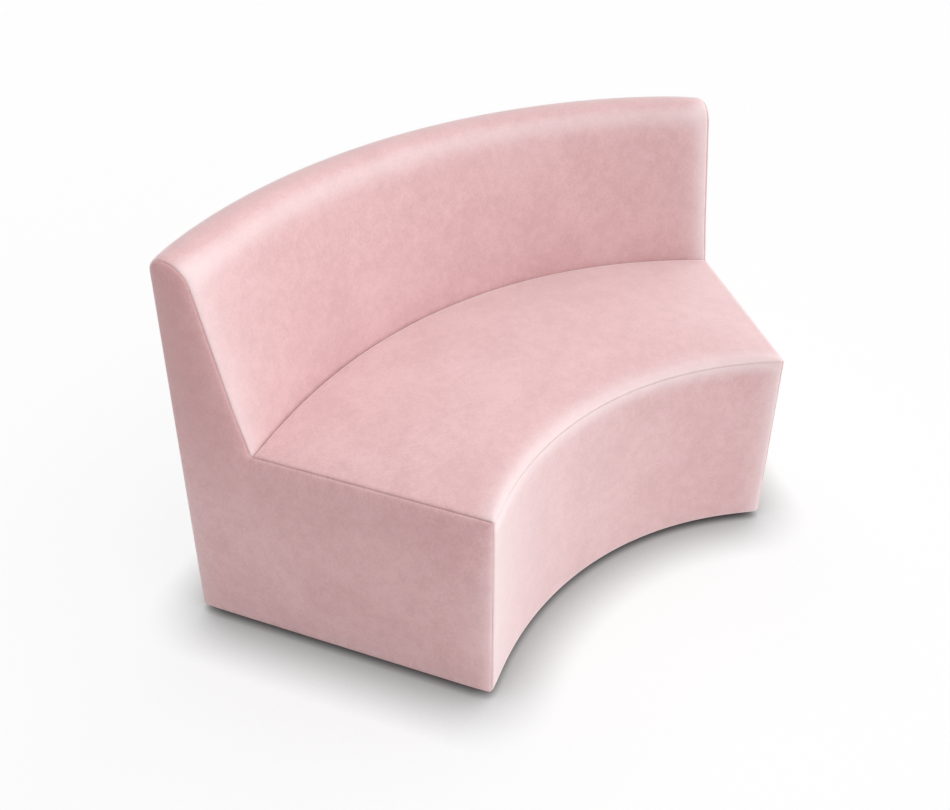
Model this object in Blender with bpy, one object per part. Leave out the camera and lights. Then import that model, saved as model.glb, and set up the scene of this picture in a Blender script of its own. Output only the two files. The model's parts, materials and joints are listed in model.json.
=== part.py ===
"""A curved sofa module: ply frame, webbing, foam and velvet covers on levelling glides.

The plan is a ring sector. Every curved piece is lofted through the same fan of stations, so that
the facets of pieces that lie against each other stay parallel. Heights are +Z, the front is -Y.
"""

import math

import bmesh
import bpy
from mathutils import Matrix, Vector

# Driving sizes of the finished sofa, in metres and degrees
FRONT_RADIUS = 0.750       # concave front face, struck from the arc centre in front of the seat
SEAT_DEPTH = 0.495         # front face to the crevice between seat and back
SEAT_HEIGHT = 0.467        # seat top behind the front roll, at the two ends
OVERALL_HEIGHT = 0.882     # back top at the middle, above the floor
BACK_RAKE = 12.5           # degrees that the inside back leans away from upright
TOP_DEPTH = 0.080          # back thickness at the top, at the two ends
OUTER_LEAN = 0.010         # how far the outside back draws in from bottom to top
END_ANGLE = 30.0           # degrees from the middle plane to each end plane
END_SETBACK = 0.120        # the end planes meet this far in front of the arc centre
BASE_GAP = 0.013           # floor to the lower edge of the covers

# Rolls and crowns of the upholstery
FRONT_ROLL = 0.030
CORNER_ROLL = 0.010        # the front roll at the two corners, where the cover is pulled tight
SEAM_ANGLE = 25.0          # degrees up the front roll at which the seat seam lies
TOP_FRONT_ROLL = 0.060
TOP_REAR_ROLL = 0.030
EDGE_ROUND = 0.008         # rounding where the covers meet the end panels
SEAT_CROWN_FRONT = 0.006   # rise of the middle over the ends, at the front roll
SEAT_CROWN_REAR = 0.023    # the same at the crevice
SEAT_CROWN_DOME = 0.008    # extra dome half-way back
BACK_CROWN = 0.006         # swell of the inside back at its middle
TOP_CROWN = 0.012          # rise of the back top at its middle
SEAT_CORNER_DROP = 0.0107  # fall of the seat top at its two front corners
TOP_CORNER_DROP = 0.008    # fall of the back top at its two ends
CORNER_POWER = 6           # how close to the ends the corners fall

# Layers from the outside in
GAP = 0.0003               # fitting gap between neighbours
COVER = 0.002              # velvet with its backing
TUCK = 0.028               # depth that the covers run down into the crevice
FRONT_PAD = 0.015
END_PAD = 0.010
WADDING = 0.005            # behind the outside back cover
BACK_FOAM = 0.050
TOP_FOAM = 0.050
SEAT_FOAM = 0.112          # under the front roll's top, at the ends
WEB_THICKNESS = 0.0018
DUST_COVER = 0.001
DUST_MARGIN = 0.006        # dust cover edge to the edge of the frame
DUST_HOLE_FIT = 0.0026     # clearance of the dust cover round the glides and bolts

# Timber
PLY = 0.018
FRONT_PLY = 0.008
BACK_PLY = 0.006
BASE_RAIL_WIDTH = 0.100
SEAT_RAIL_WIDTH = 0.075
BASE_REAR_WIDTH = 0.120
BLOCK = 0.030              # side of the glue blocks
BLOCK_FIT = 0.001          # clearance of straight blocks to curved panels
CROSS_FIT = 0.003          # clearance of the straight cross rails to the curved rails
RIB_FACET = 4              # facets from the middle of the sofa to each rib

# Webbing
WEB_COUNT = 7
WEB_WIDTH = 0.050
WEB_SPREAD = 0.84          # share of the half width that the outer straps reach
WEB_LANDING = 0.045        # length of strap stapled to each rail

# Levelling glides
FOOT_RADIUS = 0.020
FOOT_HEIGHT = 0.0080
FOOT_CHAMFER = 0.0015
NECK_RADIUS = 0.0064       # between the foot and the base rail
STEM_RADIUS = 0.004
STEM_PROUD = 0.0116        # stem above its nut, which leaves thread for letting the glide down
GLIDE_END_INSET = 0.100    # glide centre to the end plane
NUT_FLANGE_RADIUS = 0.011
NUT_FLANGE = 0.0015
NUT_BARREL_RADIUS = 0.0055
NUT_BARREL = 0.012

# Swing-out links that join two modules, and the studs that catch them
LINK_PLATE = 0.003
LINK_LENGTH = 0.090        # pivot to notch
LINK_HALF_WIDTH = 0.014
LINK_DROP = 0.0003         # below the lower edge of the covers
LINK_FRONT_REACH = 0.190   # along the end, from its front corner to the front pivot
LINK_REAR_REACH = 0.430
PIVOT_INSET = 0.045        # pivot to the end plane
BOLT_RADIUS = 0.004
BOLT_HEAD_RADIUS = 0.009
BOLT_HEAD = 0.0032
BOLT_BITE = 0.014          # depth of thread in the timber
BORE_FIT = 0.0004          # radial clearance of a shank in its hole

FACETS = 21                # facets across the sofa; odd, so that a facet lies on the middle plane
STATION_CLEAR = 0.001      # least distance of a station to the rings at an end
SEAT_STEPS = 6             # points along the seat top
BACK_STEPS = 5             # points up the inside back
ARC_STEPS = 5
EDGE_STEPS = (0.0, 0.35, 1.0)        # rings round the soft edge of a cover or pad
END_EDGE_STEPS = (0.15, 0.4, 1.0)    # rings through the thickness of an end cover
TOP_BREAK = 0.05           # radians from the top of the rear roll to its first point
ROUND_SIDES = 16

# Sizes that follow
BETA = math.radians(END_ANGLE)
RAKE = math.radians(BACK_RAKE)
SEAM = math.radians(SEAM_ANGLE)
STUD_INSET = LINK_LENGTH - PIVOT_INSET
CREVICE_RADIUS = FRONT_RADIUS + SEAT_DEPTH
END_HEIGHT = OVERALL_HEIGHT - TOP_CROWN
PAD_SKIN = COVER + GAP
DUST_BOTTOM = BASE_GAP + GAP
WOOD_BOTTOM = DUST_BOTTOM + DUST_COVER + GAP
BASE_TOP = WOOD_BOTTOM + PLY
FOAM_BOTTOM = SEAT_HEIGHT - SEAT_FOAM
DECK_TOP = FOAM_BOTTOM - GAP - WEB_THICKNESS - GAP
DECK_BOTTOM = DECK_TOP - PLY
RAIL_TOP = END_HEIGHT - TOP_FOAM
RAIL_BOTTOM = RAIL_TOP - PLY
WOOD_FRONT = FRONT_RADIUS + PAD_SKIN + FRONT_PAD + GAP
FRAME_FRONT = WOOD_FRONT + FRONT_PLY + GAP
WOOD_END = PAD_SKIN + END_PAD + GAP
PAD_FOOT = BASE_GAP + PAD_SKIN

FINISHES = {
    "velvet": ((0.76, 0.49, 0.50), 0.85, 0.0),
    "foam": ((0.85, 0.78, 0.58), 0.95, 0.0),
    "wadding": ((0.90, 0.90, 0.88), 0.95, 0.0),
    "ply": ((0.68, 0.50, 0.31), 0.60, 0.0),
    "pine": ((0.76, 0.59, 0.36), 0.60, 0.0),
    "webbing": ((0.05, 0.05, 0.05), 0.90, 0.0),
    "dust_cloth": ((0.02, 0.02, 0.02), 0.95, 0.0),
    "steel": ((0.60, 0.60, 0.60), 0.35, 1.0),
    "nylon": ((0.03, 0.03, 0.03), 0.50, 0.0),
}


def clear_scene():
    for obj in list(bpy.data.objects):
        bpy.data.objects.remove(obj, do_unlink=True)


def finish(name):
    """The material of one finish, made once."""
    material = bpy.data.materials.get(name)
    if material is None:
        colour, roughness, metallic = FINISHES[name]
        material = bpy.data.materials.new(name)
        material.use_nodes = True
        shader = material.node_tree.nodes["Principled BSDF"]
        shader.inputs["Base Color"].default_value = (*colour, 1.0)
        shader.inputs["Roughness"].default_value = roughness
        shader.inputs["Metallic"].default_value = metallic
    return material


def add_object(name, bm, finish_name, place=(0.0, 0.0, 0.0)):
    """Turn a bmesh into a named object of one finish, standing at place under the module's empty."""
    bmesh.ops.recalc_face_normals(bm, faces=bm.faces)
    mesh = bpy.data.meshes.new(name)
    bm.to_mesh(mesh)
    bm.free()
    mesh.materials.append(finish(finish_name))
    obj = bpy.data.objects.new(name, mesh)
    obj.location = place
    obj.parent = bpy.data.objects["sofa_module"]
    bpy.context.collection.objects.link(obj)
    return obj


# Plan geometry about the arc centre

def plan_point(radius, fan):
    """Plan position at an arc radius, on the vertical plane at angle fan through the ends' meeting line."""
    reach = END_SETBACK * math.cos(fan) + math.sqrt(radius ** 2 - (END_SETBACK * math.sin(fan)) ** 2)
    return Vector((reach * math.sin(fan), reach * math.cos(fan) - END_SETBACK))


def lateral(point, fan):
    """Signed distance of a point to the right of the plane at angle fan."""
    return point.x * math.cos(fan) - (point.y + END_SETBACK) * math.sin(fan)


def end_point(side, along, inset):
    """Plan position from the ends' meeting line: along an end plane and inset from it."""
    x = side * (along * math.sin(BETA) - inset * math.cos(BETA))
    y = along * math.cos(BETA) + inset * math.sin(BETA) - END_SETBACK
    return Vector((x, y))


def end_reach(radius, inset):
    """Distance along an end plane, at an inset, to an arc radius."""
    start = end_point(1, 0.0, inset)
    ahead = start.x * math.sin(BETA) + start.y * math.cos(BETA)
    return -ahead + math.sqrt(ahead ** 2 - start.length_squared + radius ** 2)


def crown(share):
    """Share of a crown's rise, from 1 at the middle of the sofa to 0 at its ends."""
    return 1.0 - min(1.0, abs(share)) ** 2


def corner(share):
    """Share of the fall at the corners, from 0 at the middle of the sofa to 1 at its ends."""
    return min(1.0, abs(share)) ** CORNER_POWER


def bulge(run):
    """Share of a swell that is full half-way along a run from 0 to 1."""
    return 4.0 * run * (1.0 - run)


# The finished outline, as radius and height pairs that run up the front, over the seat and the back

def arc(centre, radius, start, stop, steps=ARC_STEPS):
    """Points of an arc; an angle of 0 faces the arc centre of the plan, 90 degrees faces up."""
    turns = [start + (stop - start) * i / steps for i in range(steps + 1)]
    return [(centre[0] - radius * math.cos(t), centre[1] + radius * math.sin(t)) for t in turns]


def back_line(height):
    """Radius of the inside back at a height, before its swell."""
    return CREVICE_RADIUS + (height - SEAT_HEIGHT) * math.tan(RAKE)


def outer_line(height):
    """Radius of the outside back at a height."""
    return back_line(END_HEIGHT) + TOP_DEPTH + OUTER_LEAN * (END_HEIGHT - height) / (END_HEIGHT - BASE_GAP)


def seat_height(run, share):
    """Height of the seat top; run goes from 0 at the front roll to 1 at the crevice."""
    slope = SEAT_CROWN_FRONT + (SEAT_CROWN_REAR - SEAT_CROWN_FRONT) * run
    rise = (slope + SEAT_CROWN_DOME * bulge(run)) * crown(share)
    return SEAT_HEIGHT + rise - SEAT_CORNER_DROP * (1.0 - run) * corner(share)


def front_roll(share):
    return FRONT_ROLL + (CORNER_ROLL - FRONT_ROLL) * corner(share)


def roll_centre(share):
    return (FRONT_RADIUS + front_roll(share), seat_height(0.0, share) - front_roll(share))


def front_path(share, foot=BASE_GAP, stop=SEAM):
    return [(FRONT_RADIUS, foot)] + arc(roll_centre(share), front_roll(share), 0.0, stop, 2)


def seat_path(share, start=SEAM):
    """From the seam on the front roll to the crevice."""
    path = arc(roll_centre(share), front_roll(share), start, math.pi / 2)
    first = path[-1][0]
    for i in range(1, SEAT_STEPS + 1):
        run = i / SEAT_STEPS
        height = seat_height(run, share)
        path.append((first + (back_line(height) - first) * run, height))
    return path


def back_path(share, stop=0.0):
    """From the crevice up the inside back, over the top and round the rear roll."""
    top = END_HEIGHT + TOP_CROWN * crown(share) - TOP_CORNER_DROP * corner(share)
    rear = min(TOP_REAR_ROLL, TOP_DEPTH / 2)
    lead = math.tan((math.pi / 2 + RAKE) / 2)
    roll = min(TOP_FRONT_ROLL, (TOP_DEPTH - rear) * lead)
    low = seat_height(1.0, share)
    high = top - roll + roll * math.sin(RAKE)
    path = []
    for i in range(BACK_STEPS):
        run = i / BACK_STEPS
        height = low + (high - low) * run
        path.append((back_line(height) - BACK_CROWN * crown(share) * bulge(run), height))
    front_centre = (back_line(high) + roll * math.cos(RAKE), top - roll)
    path += arc(front_centre, roll, RAKE, math.pi / 2, ARC_STEPS + 1)
    rear_centre = (outer_line(top - rear) - rear, top - rear)
    path += arc(rear_centre, rear, math.pi / 2 + TOP_BREAK, math.pi - stop)
    return path


def outer_path(share, drop=0.0):
    """From below the rear roll down to the lower edge."""
    top = back_path(share)[-1][1] - drop
    return [(outer_line(top), top), (outer_line(BASE_GAP), BASE_GAP)]


def end_outline(share):
    """Closed outline of the end panels; it follows the covers inwards from their ends."""
    return front_path(share) + seat_path(share)[1:] + back_path(share)[1:] + outer_path(share)[1:]


def inset(path, distance, closed=False):
    """Move a path into the sofa, which lies on the right of the way that it runs."""
    count = len(path)
    moved = []
    for i, point in enumerate(path):
        before = path[i - 1] if closed or i else None
        after = path[(i + 1) % count] if closed or i < count - 1 else None
        normals = []
        for a, b in ((before, point), (point, after)):
            if a is not None and b is not None:
                way = Vector((b[0] - a[0], b[1] - a[1])).normalized()
                normals.append(Vector((way.y, -way.x)))
        if len(normals) == 1:
            shift = normals[0]
        else:
            shift = (normals[0] + normals[1]) / (1.0 + normals[0].dot(normals[1]))
        moved.append((point[0] + shift.x * distance, point[1] + shift.y * distance))
    return moved


def shell(path, shrink, before=(), after=()):
    """Closed section of a cover along a path; points of the next covers square up its seams."""
    whole = [*before, *path, *after]
    keep = slice(len(before), len(before) + len(path))
    return inset(whole, shrink)[keep] + inset(whole, shrink + COVER)[keep][::-1]


def ease_tuck(section, start, reach):
    """Draw the two points after start back to the straight cut edge between their neighbours."""
    count = len(section)
    first, last = Vector(section[start % count]), Vector(section[(start + 3) % count])
    for step in (1, 2):
        i = (start + step) % count
        section[i] = tuple(first.lerp(last, step / 3).lerp(Vector(section[i]), reach))
    return section


def edge_shrink(depth):
    """How far the rounded edge lies inside the outline at a depth from the end plane."""
    if depth >= EDGE_ROUND:
        return 0.0
    return EDGE_ROUND - math.sqrt(EDGE_ROUND ** 2 - (EDGE_ROUND - depth) ** 2)


# Lofting

SHARES = [-1.0 + 2.0 * i / FACETS for i in range(FACETS + 1)]


def end_sections(shrink):
    """The end panels' outline at each share, drawn in by shrink."""
    return [inset(end_outline(share), shrink, closed=True) for share in SHARES]


def station_ring(section, share):
    points = []
    for radius, height in section:
        plan = plan_point(radius, share * BETA)
        points.append(Vector((plan.x, plan.y, height)))
    return points


def cut_ring(sections, fan, offset):
    """Ring where the lofted facets meet the vertical plane at an offset from the plane at angle fan."""
    rings = [station_ring(section, share) for section, share in zip(sections, SHARES)]
    cut = []
    for track in zip(*rings):
        reach = [lateral(point, fan) - offset for point in track]
        i = next((n for n in range(1, FACETS) if reach[n] >= 0.0), FACETS)
        part = reach[i - 1] / (reach[i - 1] - reach[i])
        cut.append(track[i - 1].lerp(track[i], part))
    return cut


def rank(vert):
    """Order of a section's points, which sets the same diagonals on faces that lie against each other."""
    return vert.co.xy.length + vert.co.z


def skin(name, rings, finish_name):
    """A closed solid through rings of equal point count."""
    bm = bmesh.new()
    rows = [[bm.verts.new(point) for point in ring] for ring in rings]
    for row, following in zip(rows, rows[1:]):
        for i in range(len(row)):
            a, b, c, d = row[i - 1], row[i], following[i], following[i - 1]
            halves = ((a, b, c), (a, c, d)) if rank(a) < rank(b) else ((a, b, d), (b, c, d))
            for half in halves:
                bm.faces.new(half)
    bm.faces.new(rows[0])
    bm.faces.new(rows[-1])
    return add_object(name, bm, finish_name)


def loft(name, section, ends, finish_name):
    """A curved piece across the sofa; ends lists the rings at each end, outermost first.

    Each ring is a depth from the end plane, how far its outline draws in, and the share of its tuck.
    """
    left, right = [], []
    for depth, shrink, tuck in ends:
        drawn = [section(share, shrink, tuck) for share in SHARES]
        left.append(cut_ring(drawn, -BETA, depth))
        right.append(cut_ring(drawn, BETA, -depth))
    clear = ends[-1][0] + STATION_CLEAR
    middle = []
    for share in SHARES:
        ring = station_ring(section(share, 0.0, 1.0), share)
        if min(min(lateral(p, -BETA), -lateral(p, BETA)) for p in ring) > clear:
            middle.append(ring)
    return skin(name, left + middle + right[::-1], finish_name)


def curved_board(name, section, finish_name, depth=None):
    """A curved piece of constant section between the end pads."""
    return loft(name, lambda share, shrink, tuck: section, [(depth or WOOD_END, 0.0, 1.0)], finish_name)


def soft_depths():
    """Depths of the rings round a soft edge."""
    return [PAD_SKIN + max(EDGE_ROUND - PAD_SKIN, GAP) * step for step in EDGE_STEPS]


def plate(name, rings, fan, finish_name):
    """A flat piece parallel to the plane at angle fan; rings pairs an offset with its sections."""
    cuts = [cut_ring(sections, fan, offset) for offset, sections in rings]
    return skin(name, cuts, finish_name)


def prism(name, corners, bottom, top, finish_name):
    """An upright straight piece on plan corners."""
    rings = [[Vector((p.x, p.y, z)) for p in corners] for z in (bottom, top)]
    return skin(name, rings, finish_name)


def turned(name, profile, place, finish_name):
    """A turned piece: profile pairs a radius with a height, from the axis round to the axis or closed."""
    bm = bmesh.new()
    verts = [bm.verts.new((radius, 0.0, height)) for radius, height in profile]
    edges = [bm.edges.new(pair) for pair in zip(verts, verts[1:])]
    if profile[0][0] > 0.0:
        edges.append(bm.edges.new((verts[-1], verts[0])))
    bmesh.ops.spin(bm, geom=verts + edges, cent=(0, 0, 0), axis=(0, 0, 1), angle=2 * math.pi,
                   steps=ROUND_SIDES, use_merge=True)
    bmesh.ops.remove_doubles(bm, verts=bm.verts, dist=1e-6)
    obj = add_object(name, bm, finish_name, place)
    obj.data.shade_smooth()
    obj.data.set_sharp_from_angle(angle=math.radians(30))
    return obj


def drill(obj, places, radius, bottom, top):
    """Cut upright round holes through an object."""
    bm = bmesh.new()
    for place in places:
        where = Matrix.Translation((place.x, place.y, (bottom + top) / 2))
        bmesh.ops.create_cone(bm, cap_ends=True, segments=ROUND_SIDES, radius1=radius, radius2=radius,
                              depth=top - bottom, matrix=where)
    cutter = add_object(obj.name + "_holes", bm, "steel")
    cutter.hide_render = True
    cutter.display_type = "WIRE"
    holes = obj.modifiers.new("holes", "BOOLEAN")
    holes.operation = "DIFFERENCE"
    holes.object = cutter


# Covers

def make_covers():
    half = GAP / 2
    rear_half = half / min(TOP_REAR_ROLL, TOP_DEPTH / 2)

    def front(share, shrink, tuck):
        stop = SEAM - half / front_roll(share)
        return shell(front_path(share, stop=stop), shrink, after=seat_path(share)[1:2])

    def seat(share, shrink, tuck):
        path = seat_path(share, SEAM + half / front_roll(share))
        low = path[-1][1] - TUCK
        path[-1] = (path[-1][0] - half, path[-1][1])
        section = shell(path + [(back_line(low) - half, low)], shrink, before=front_path(share)[-2:-1])
        return ease_tuck(section, len(path) - 1, tuck)

    def inner_back(share, shrink, tuck):
        path = back_path(share, rear_half)
        low = path[0][1] - TUCK
        path[0] = (path[0][0] + half, path[0][1])
        section = shell([(back_line(low) + half, low)] + path, shrink, after=outer_path(share)[1:])
        return ease_tuck(section, -2, tuck)

    def outer_back(share, shrink, tuck):
        return shell(outer_path(share, half), shrink, before=back_path(share)[-2:-1])

    ends = [(depth, edge_shrink(depth), 0.0) for depth in soft_depths()] + [(WOOD_END, 0.0, 0.0)]
    for name, section in (("front_cover", front), ("seat_cover", seat),
                          ("inner_back_cover", inner_back), ("outer_back_cover", outer_back)):
        loft(name, section, ends, "velvet")
    for name, side in (("left_end_cover", -1), ("right_end_cover", 1)):
        rings = []
        for step in END_EDGE_STEPS:
            depth = COVER * step if step > END_EDGE_STEPS[0] else 0.0
            rings.append((-side * depth, end_sections(edge_shrink(COVER * step))))
        plate(name, rings, side * BETA, "velvet")


# Foam and wadding

def make_foam():
    crevice_skin = GAP / 2 + PAD_SKIN / math.cos(RAKE)

    def seat(share, shrink, tuck):
        path = front_path(share, FOAM_BOTTOM)[:-1] + seat_path(share)
        low = back_line(FOAM_BOTTOM)
        moved = inset(path + [(low, FOAM_BOTTOM)], PAD_SKIN)
        moved[-2] = (moved[-2][0] - GAP / 2, moved[-2][1])
        moved[-1] = (low - crevice_skin, FOAM_BOTTOM)
        return moved

    def back(share, shrink, tuck):
        low = back_line(FOAM_BOTTOM)
        rim = RAIL_TOP + GAP
        moved = inset([(low, FOAM_BOTTOM)] + back_path(share) + [(outer_line(rim), rim)], PAD_SKIN)
        moved[0] = (low + crevice_skin, FOAM_BOTTOM)
        moved[1] = (moved[1][0] + GAP / 2, moved[1][1])
        return moved + [(panel_line(rim) - GAP, rim), (panel_line(FOAM_BOTTOM) - GAP, FOAM_BOTTOM)]

    for name, section in (("seat_foam", seat), ("back_foam", back)):
        loft(name, section, [(WOOD_END, 0.0, 1.0)], "foam")
    pad_face = FRONT_RADIUS + PAD_SKIN
    pad = box_section(pad_face, pad_face + FRONT_PAD, PAD_FOOT, FOAM_BOTTOM - GAP)
    curved_board("front_foam", pad, "foam")
    curved_board("outer_back_wadding", outer_section(PAD_SKIN, WADDING, PAD_FOOT, RAIL_TOP), "wadding")
    depths = [*soft_depths(), PAD_SKIN + END_PAD]
    for name, side in (("left_end_foam", -1), ("right_end_foam", 1)):
        rings = [(-side * depth, end_sections(PAD_SKIN + edge_shrink(depth))) for depth in depths]
        plate(name, rings, side * BETA, "foam")


# Timber

def box_section(inner, outer, bottom, top):
    return [(inner, bottom), (inner, top), (outer, top), (outer, bottom)]


def outer_section(start, thickness, bottom, top):
    """Section of a sheet that follows the outside back, from start to start plus thickness inside it."""
    far = start + thickness
    return [(outer_line(bottom) - far, bottom), (outer_line(top) - far, top),
            (outer_line(top) - start, top), (outer_line(bottom) - start, bottom)]


def panel_line(height):
    """Radius of the front face of the inside back panel."""
    return back_line(height) + (PAD_SKIN + BACK_FOAM + GAP) / math.cos(RAKE)


def post_line(height):
    """Radius of the front edge of the ribs' back posts."""
    return panel_line(height) + BACK_PLY + GAP


def frame_back(height):
    """Radius of the inside of the outer back panel, less the fitting gap."""
    return outer_line(height) - PAD_SKIN - WADDING - GAP - BACK_PLY - GAP


def frame_section():
    """Outline of a rib: seat box and raked back post in one board."""
    low, deck, high = BASE_TOP + GAP, DECK_BOTTOM - GAP, RAIL_BOTTOM - GAP
    return [(FRAME_FRONT, low), (FRAME_FRONT, deck), (post_line(deck), deck), (post_line(high), high),
            (frame_back(high), high), (frame_back(low), low)]


def glue_block(name, side, along_from, along_to, top):
    """An upright block in the corner between an end frame and a curved panel."""
    near = WOOD_END + PLY + GAP
    corners = [end_point(side, along_from, near), end_point(side, along_to, near),
               end_point(side, along_to, near + BLOCK), end_point(side, along_from, near + BLOCK)]
    prism(name, corners, BASE_TOP + GAP, top, "pine")


def make_timber():
    section = [frame_section()] * len(SHARES)
    rib_fan = BETA * 2 * RIB_FACET / FACETS
    for name, fan in (("left_rib", -rib_fan), ("right_rib", rib_fan)):
        plate(name, [(-PLY / 2, section), (PLY / 2, section)], fan, "ply")
    for name, side in (("left_end_frame", -1), ("right_end_frame", 1)):
        faces = [(-side * WOOD_END, section), (-side * (WOOD_END + PLY), section)]
        plate(name, faces, side * BETA, "ply")
    rail_front = FRAME_FRONT + SEAT_RAIL_WIDTH
    seat_rear = post_line(DECK_BOTTOM) - GAP
    rail_rear = seat_rear - SEAT_RAIL_WIDTH
    foot = DECK_TOP + GAP
    head = RAIL_BOTTOM - GAP
    boards = {
        "front_panel": box_section(WOOD_FRONT, WOOD_FRONT + FRONT_PLY, WOOD_BOTTOM, DECK_TOP),
        "seat_front_rail": box_section(FRAME_FRONT, rail_front, DECK_BOTTOM, DECK_TOP),
        "seat_rear_rail": box_section(rail_rear, seat_rear, DECK_BOTTOM, DECK_TOP),
        "inner_back_panel": [(panel_line(foot), foot), (panel_line(head), head),
                             (panel_line(head) + BACK_PLY, head), (panel_line(foot) + BACK_PLY, foot)],
        "outer_back_panel": outer_section(PAD_SKIN + WADDING + GAP, BACK_PLY, WOOD_BOTTOM, RAIL_TOP),
        "back_top_rail": box_section(panel_line(RAIL_TOP), frame_back(RAIL_TOP), RAIL_BOTTOM, RAIL_TOP),
    }
    for name, board in boards.items():
        curved_board(name, board, "ply")
    near = WOOD_END + PLY + GAP
    far = near + BLOCK
    for name, side in (("left", -1), ("right", 1)):
        start = max(end_reach(FRAME_FRONT, near), end_reach(FRAME_FRONT, far)) + BLOCK_FIT
        glue_block(name + "_front_block", side, start, start + BLOCK, DECK_BOTTOM - GAP)
        rear = frame_back(SEAT_HEIGHT)
        stop = min(end_reach(rear, near), end_reach(rear, far)) - BLOCK_FIT
        glue_block(name + "_rear_block", side, stop - BLOCK, stop, SEAT_HEIGHT)


# The base: two curved rails, two cross rails, the dust cover, and what is bolted through them

def base_radii():
    """Inner and outer radius of the front and rear base rails."""
    rear = frame_back(BASE_TOP)
    return (FRAME_FRONT, FRAME_FRONT + BASE_RAIL_WIDTH), (rear - BASE_REAR_WIDTH, rear)


def glide_places():
    """Plan place of each glide, on the middle line of the base rails."""
    places = {}
    for row, (inner, outer) in zip(("front", "rear"), base_radii()):
        middle = (inner + outer) / 2
        along = end_reach(middle, GLIDE_END_INSET)
        places[row + "_left"] = end_point(-1, along, GLIDE_END_INSET)
        places[row + "_middle"] = plan_point(middle, 0.0)
        places[row + "_right"] = end_point(1, along, GLIDE_END_INSET)
    return places


def link_places(side, depth):
    """Plan places along an end for the front and rear link, at a depth from the end plane."""
    corner = end_reach(FRONT_RADIUS, 0.0)
    return {"front": end_point(side, corner + LINK_FRONT_REACH, depth),
            "rear": end_point(side, corner + LINK_REAR_REACH, depth)}


def make_base():
    front, rear = base_radii()
    glides = glide_places()
    bore = NUT_BARREL_RADIUS + GAP
    below, above = WOOD_BOTTOM - PLY, BASE_TOP + PLY
    for row, radii in (("front", front), ("rear", rear)):
        board = curved_board(f"base_{row}_rail", box_section(*radii, WOOD_BOTTOM, BASE_TOP), "ply")
        drill(board, [place for key, place in glides.items() if key.startswith(row)], bore, below, above)
    near = WOOD_END
    far = near + BASE_RAIL_WIDTH
    shanks = []
    for name, side, depth in (("left", -1, STUD_INSET), ("right", 1, PIVOT_INSET)):
        corners = [end_point(side, end_reach(front[1] + CROSS_FIT, near), near),
                   end_point(side, end_reach(rear[0] - CROSS_FIT, near), near),
                   end_point(side, end_reach(rear[0] - CROSS_FIT, far), far),
                   end_point(side, end_reach(front[1] + CROSS_FIT, far), far)]
        board = prism(f"base_{name}_rail", corners, WOOD_BOTTOM, BASE_TOP, "ply")
        places = list(link_places(side, depth).values())
        drill(board, places, BOLT_RADIUS + BORE_FIT, below, above)
        shanks += places
    section = box_section(WOOD_FRONT + DUST_MARGIN, rear[1] - DUST_MARGIN,
                          DUST_BOTTOM, DUST_BOTTOM + DUST_COVER)
    sheet = curved_board("dust_cover", section, "dust_cloth", WOOD_END + DUST_MARGIN)
    hole = max(NECK_RADIUS, BOLT_RADIUS) + DUST_HOLE_FIT
    drill(sheet, list(glides.values()) + shanks, hole, DUST_BOTTOM - PLY, DUST_BOTTOM + PLY)


def make_glides():
    """Nylon feet on threaded stems, each in a pronged nut let into the base rail."""
    neck_top = WOOD_BOTTOM - GAP
    low, seat, high = BASE_TOP + GAP - NUT_BARREL, BASE_TOP + GAP, BASE_TOP + GAP + NUT_FLANGE
    stem_top = high + STEM_PROUD
    foot = [(0.0, 0.0), (FOOT_RADIUS - FOOT_CHAMFER, 0.0), (FOOT_RADIUS, FOOT_CHAMFER),
            (FOOT_RADIUS, FOOT_HEIGHT - FOOT_CHAMFER), (FOOT_RADIUS - FOOT_CHAMFER, FOOT_HEIGHT),
            (NECK_RADIUS, FOOT_HEIGHT), (NECK_RADIUS, neck_top), (STEM_RADIUS, neck_top),
            (STEM_RADIUS, stem_top), (0.0, stem_top)]
    bore = STEM_RADIUS + GAP
    nut = [(bore, low), (NUT_BARREL_RADIUS, low), (NUT_BARREL_RADIUS, seat), (NUT_FLANGE_RADIUS, seat),
           (NUT_FLANGE_RADIUS, high), (bore, high)]
    for key, place in glide_places().items():
        turned("glide_" + key, foot, (place.x, place.y, 0.0), "nylon")
        turned("glide_nut_" + key, nut, (place.x, place.y, 0.0), "steel")


def link_outline():
    """Outline of a link in its own frame: pivot at 0, notch at LINK_LENGTH on X, its mouth on -Y."""
    half = LINK_HALF_WIDTH
    throat = BOLT_RADIUS + BORE_FIT
    steps = ROUND_SIDES // 2
    turns = [math.pi * i / steps for i in range(steps + 1)]
    near = [(-half * math.sin(t), half * math.cos(t)) for t in turns]
    hook = [(LINK_LENGTH - throat * math.cos(t), throat * math.sin(t)) for t in turns]
    lip = math.asin(throat / half)
    turns = [lip + (math.pi - lip) * i / steps for i in range(steps + 1)]
    far = [(LINK_LENGTH + half * math.sin(t), -half * math.cos(t)) for t in turns]
    return near + [(LINK_LENGTH - throat, -half)] + hook + far


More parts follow.
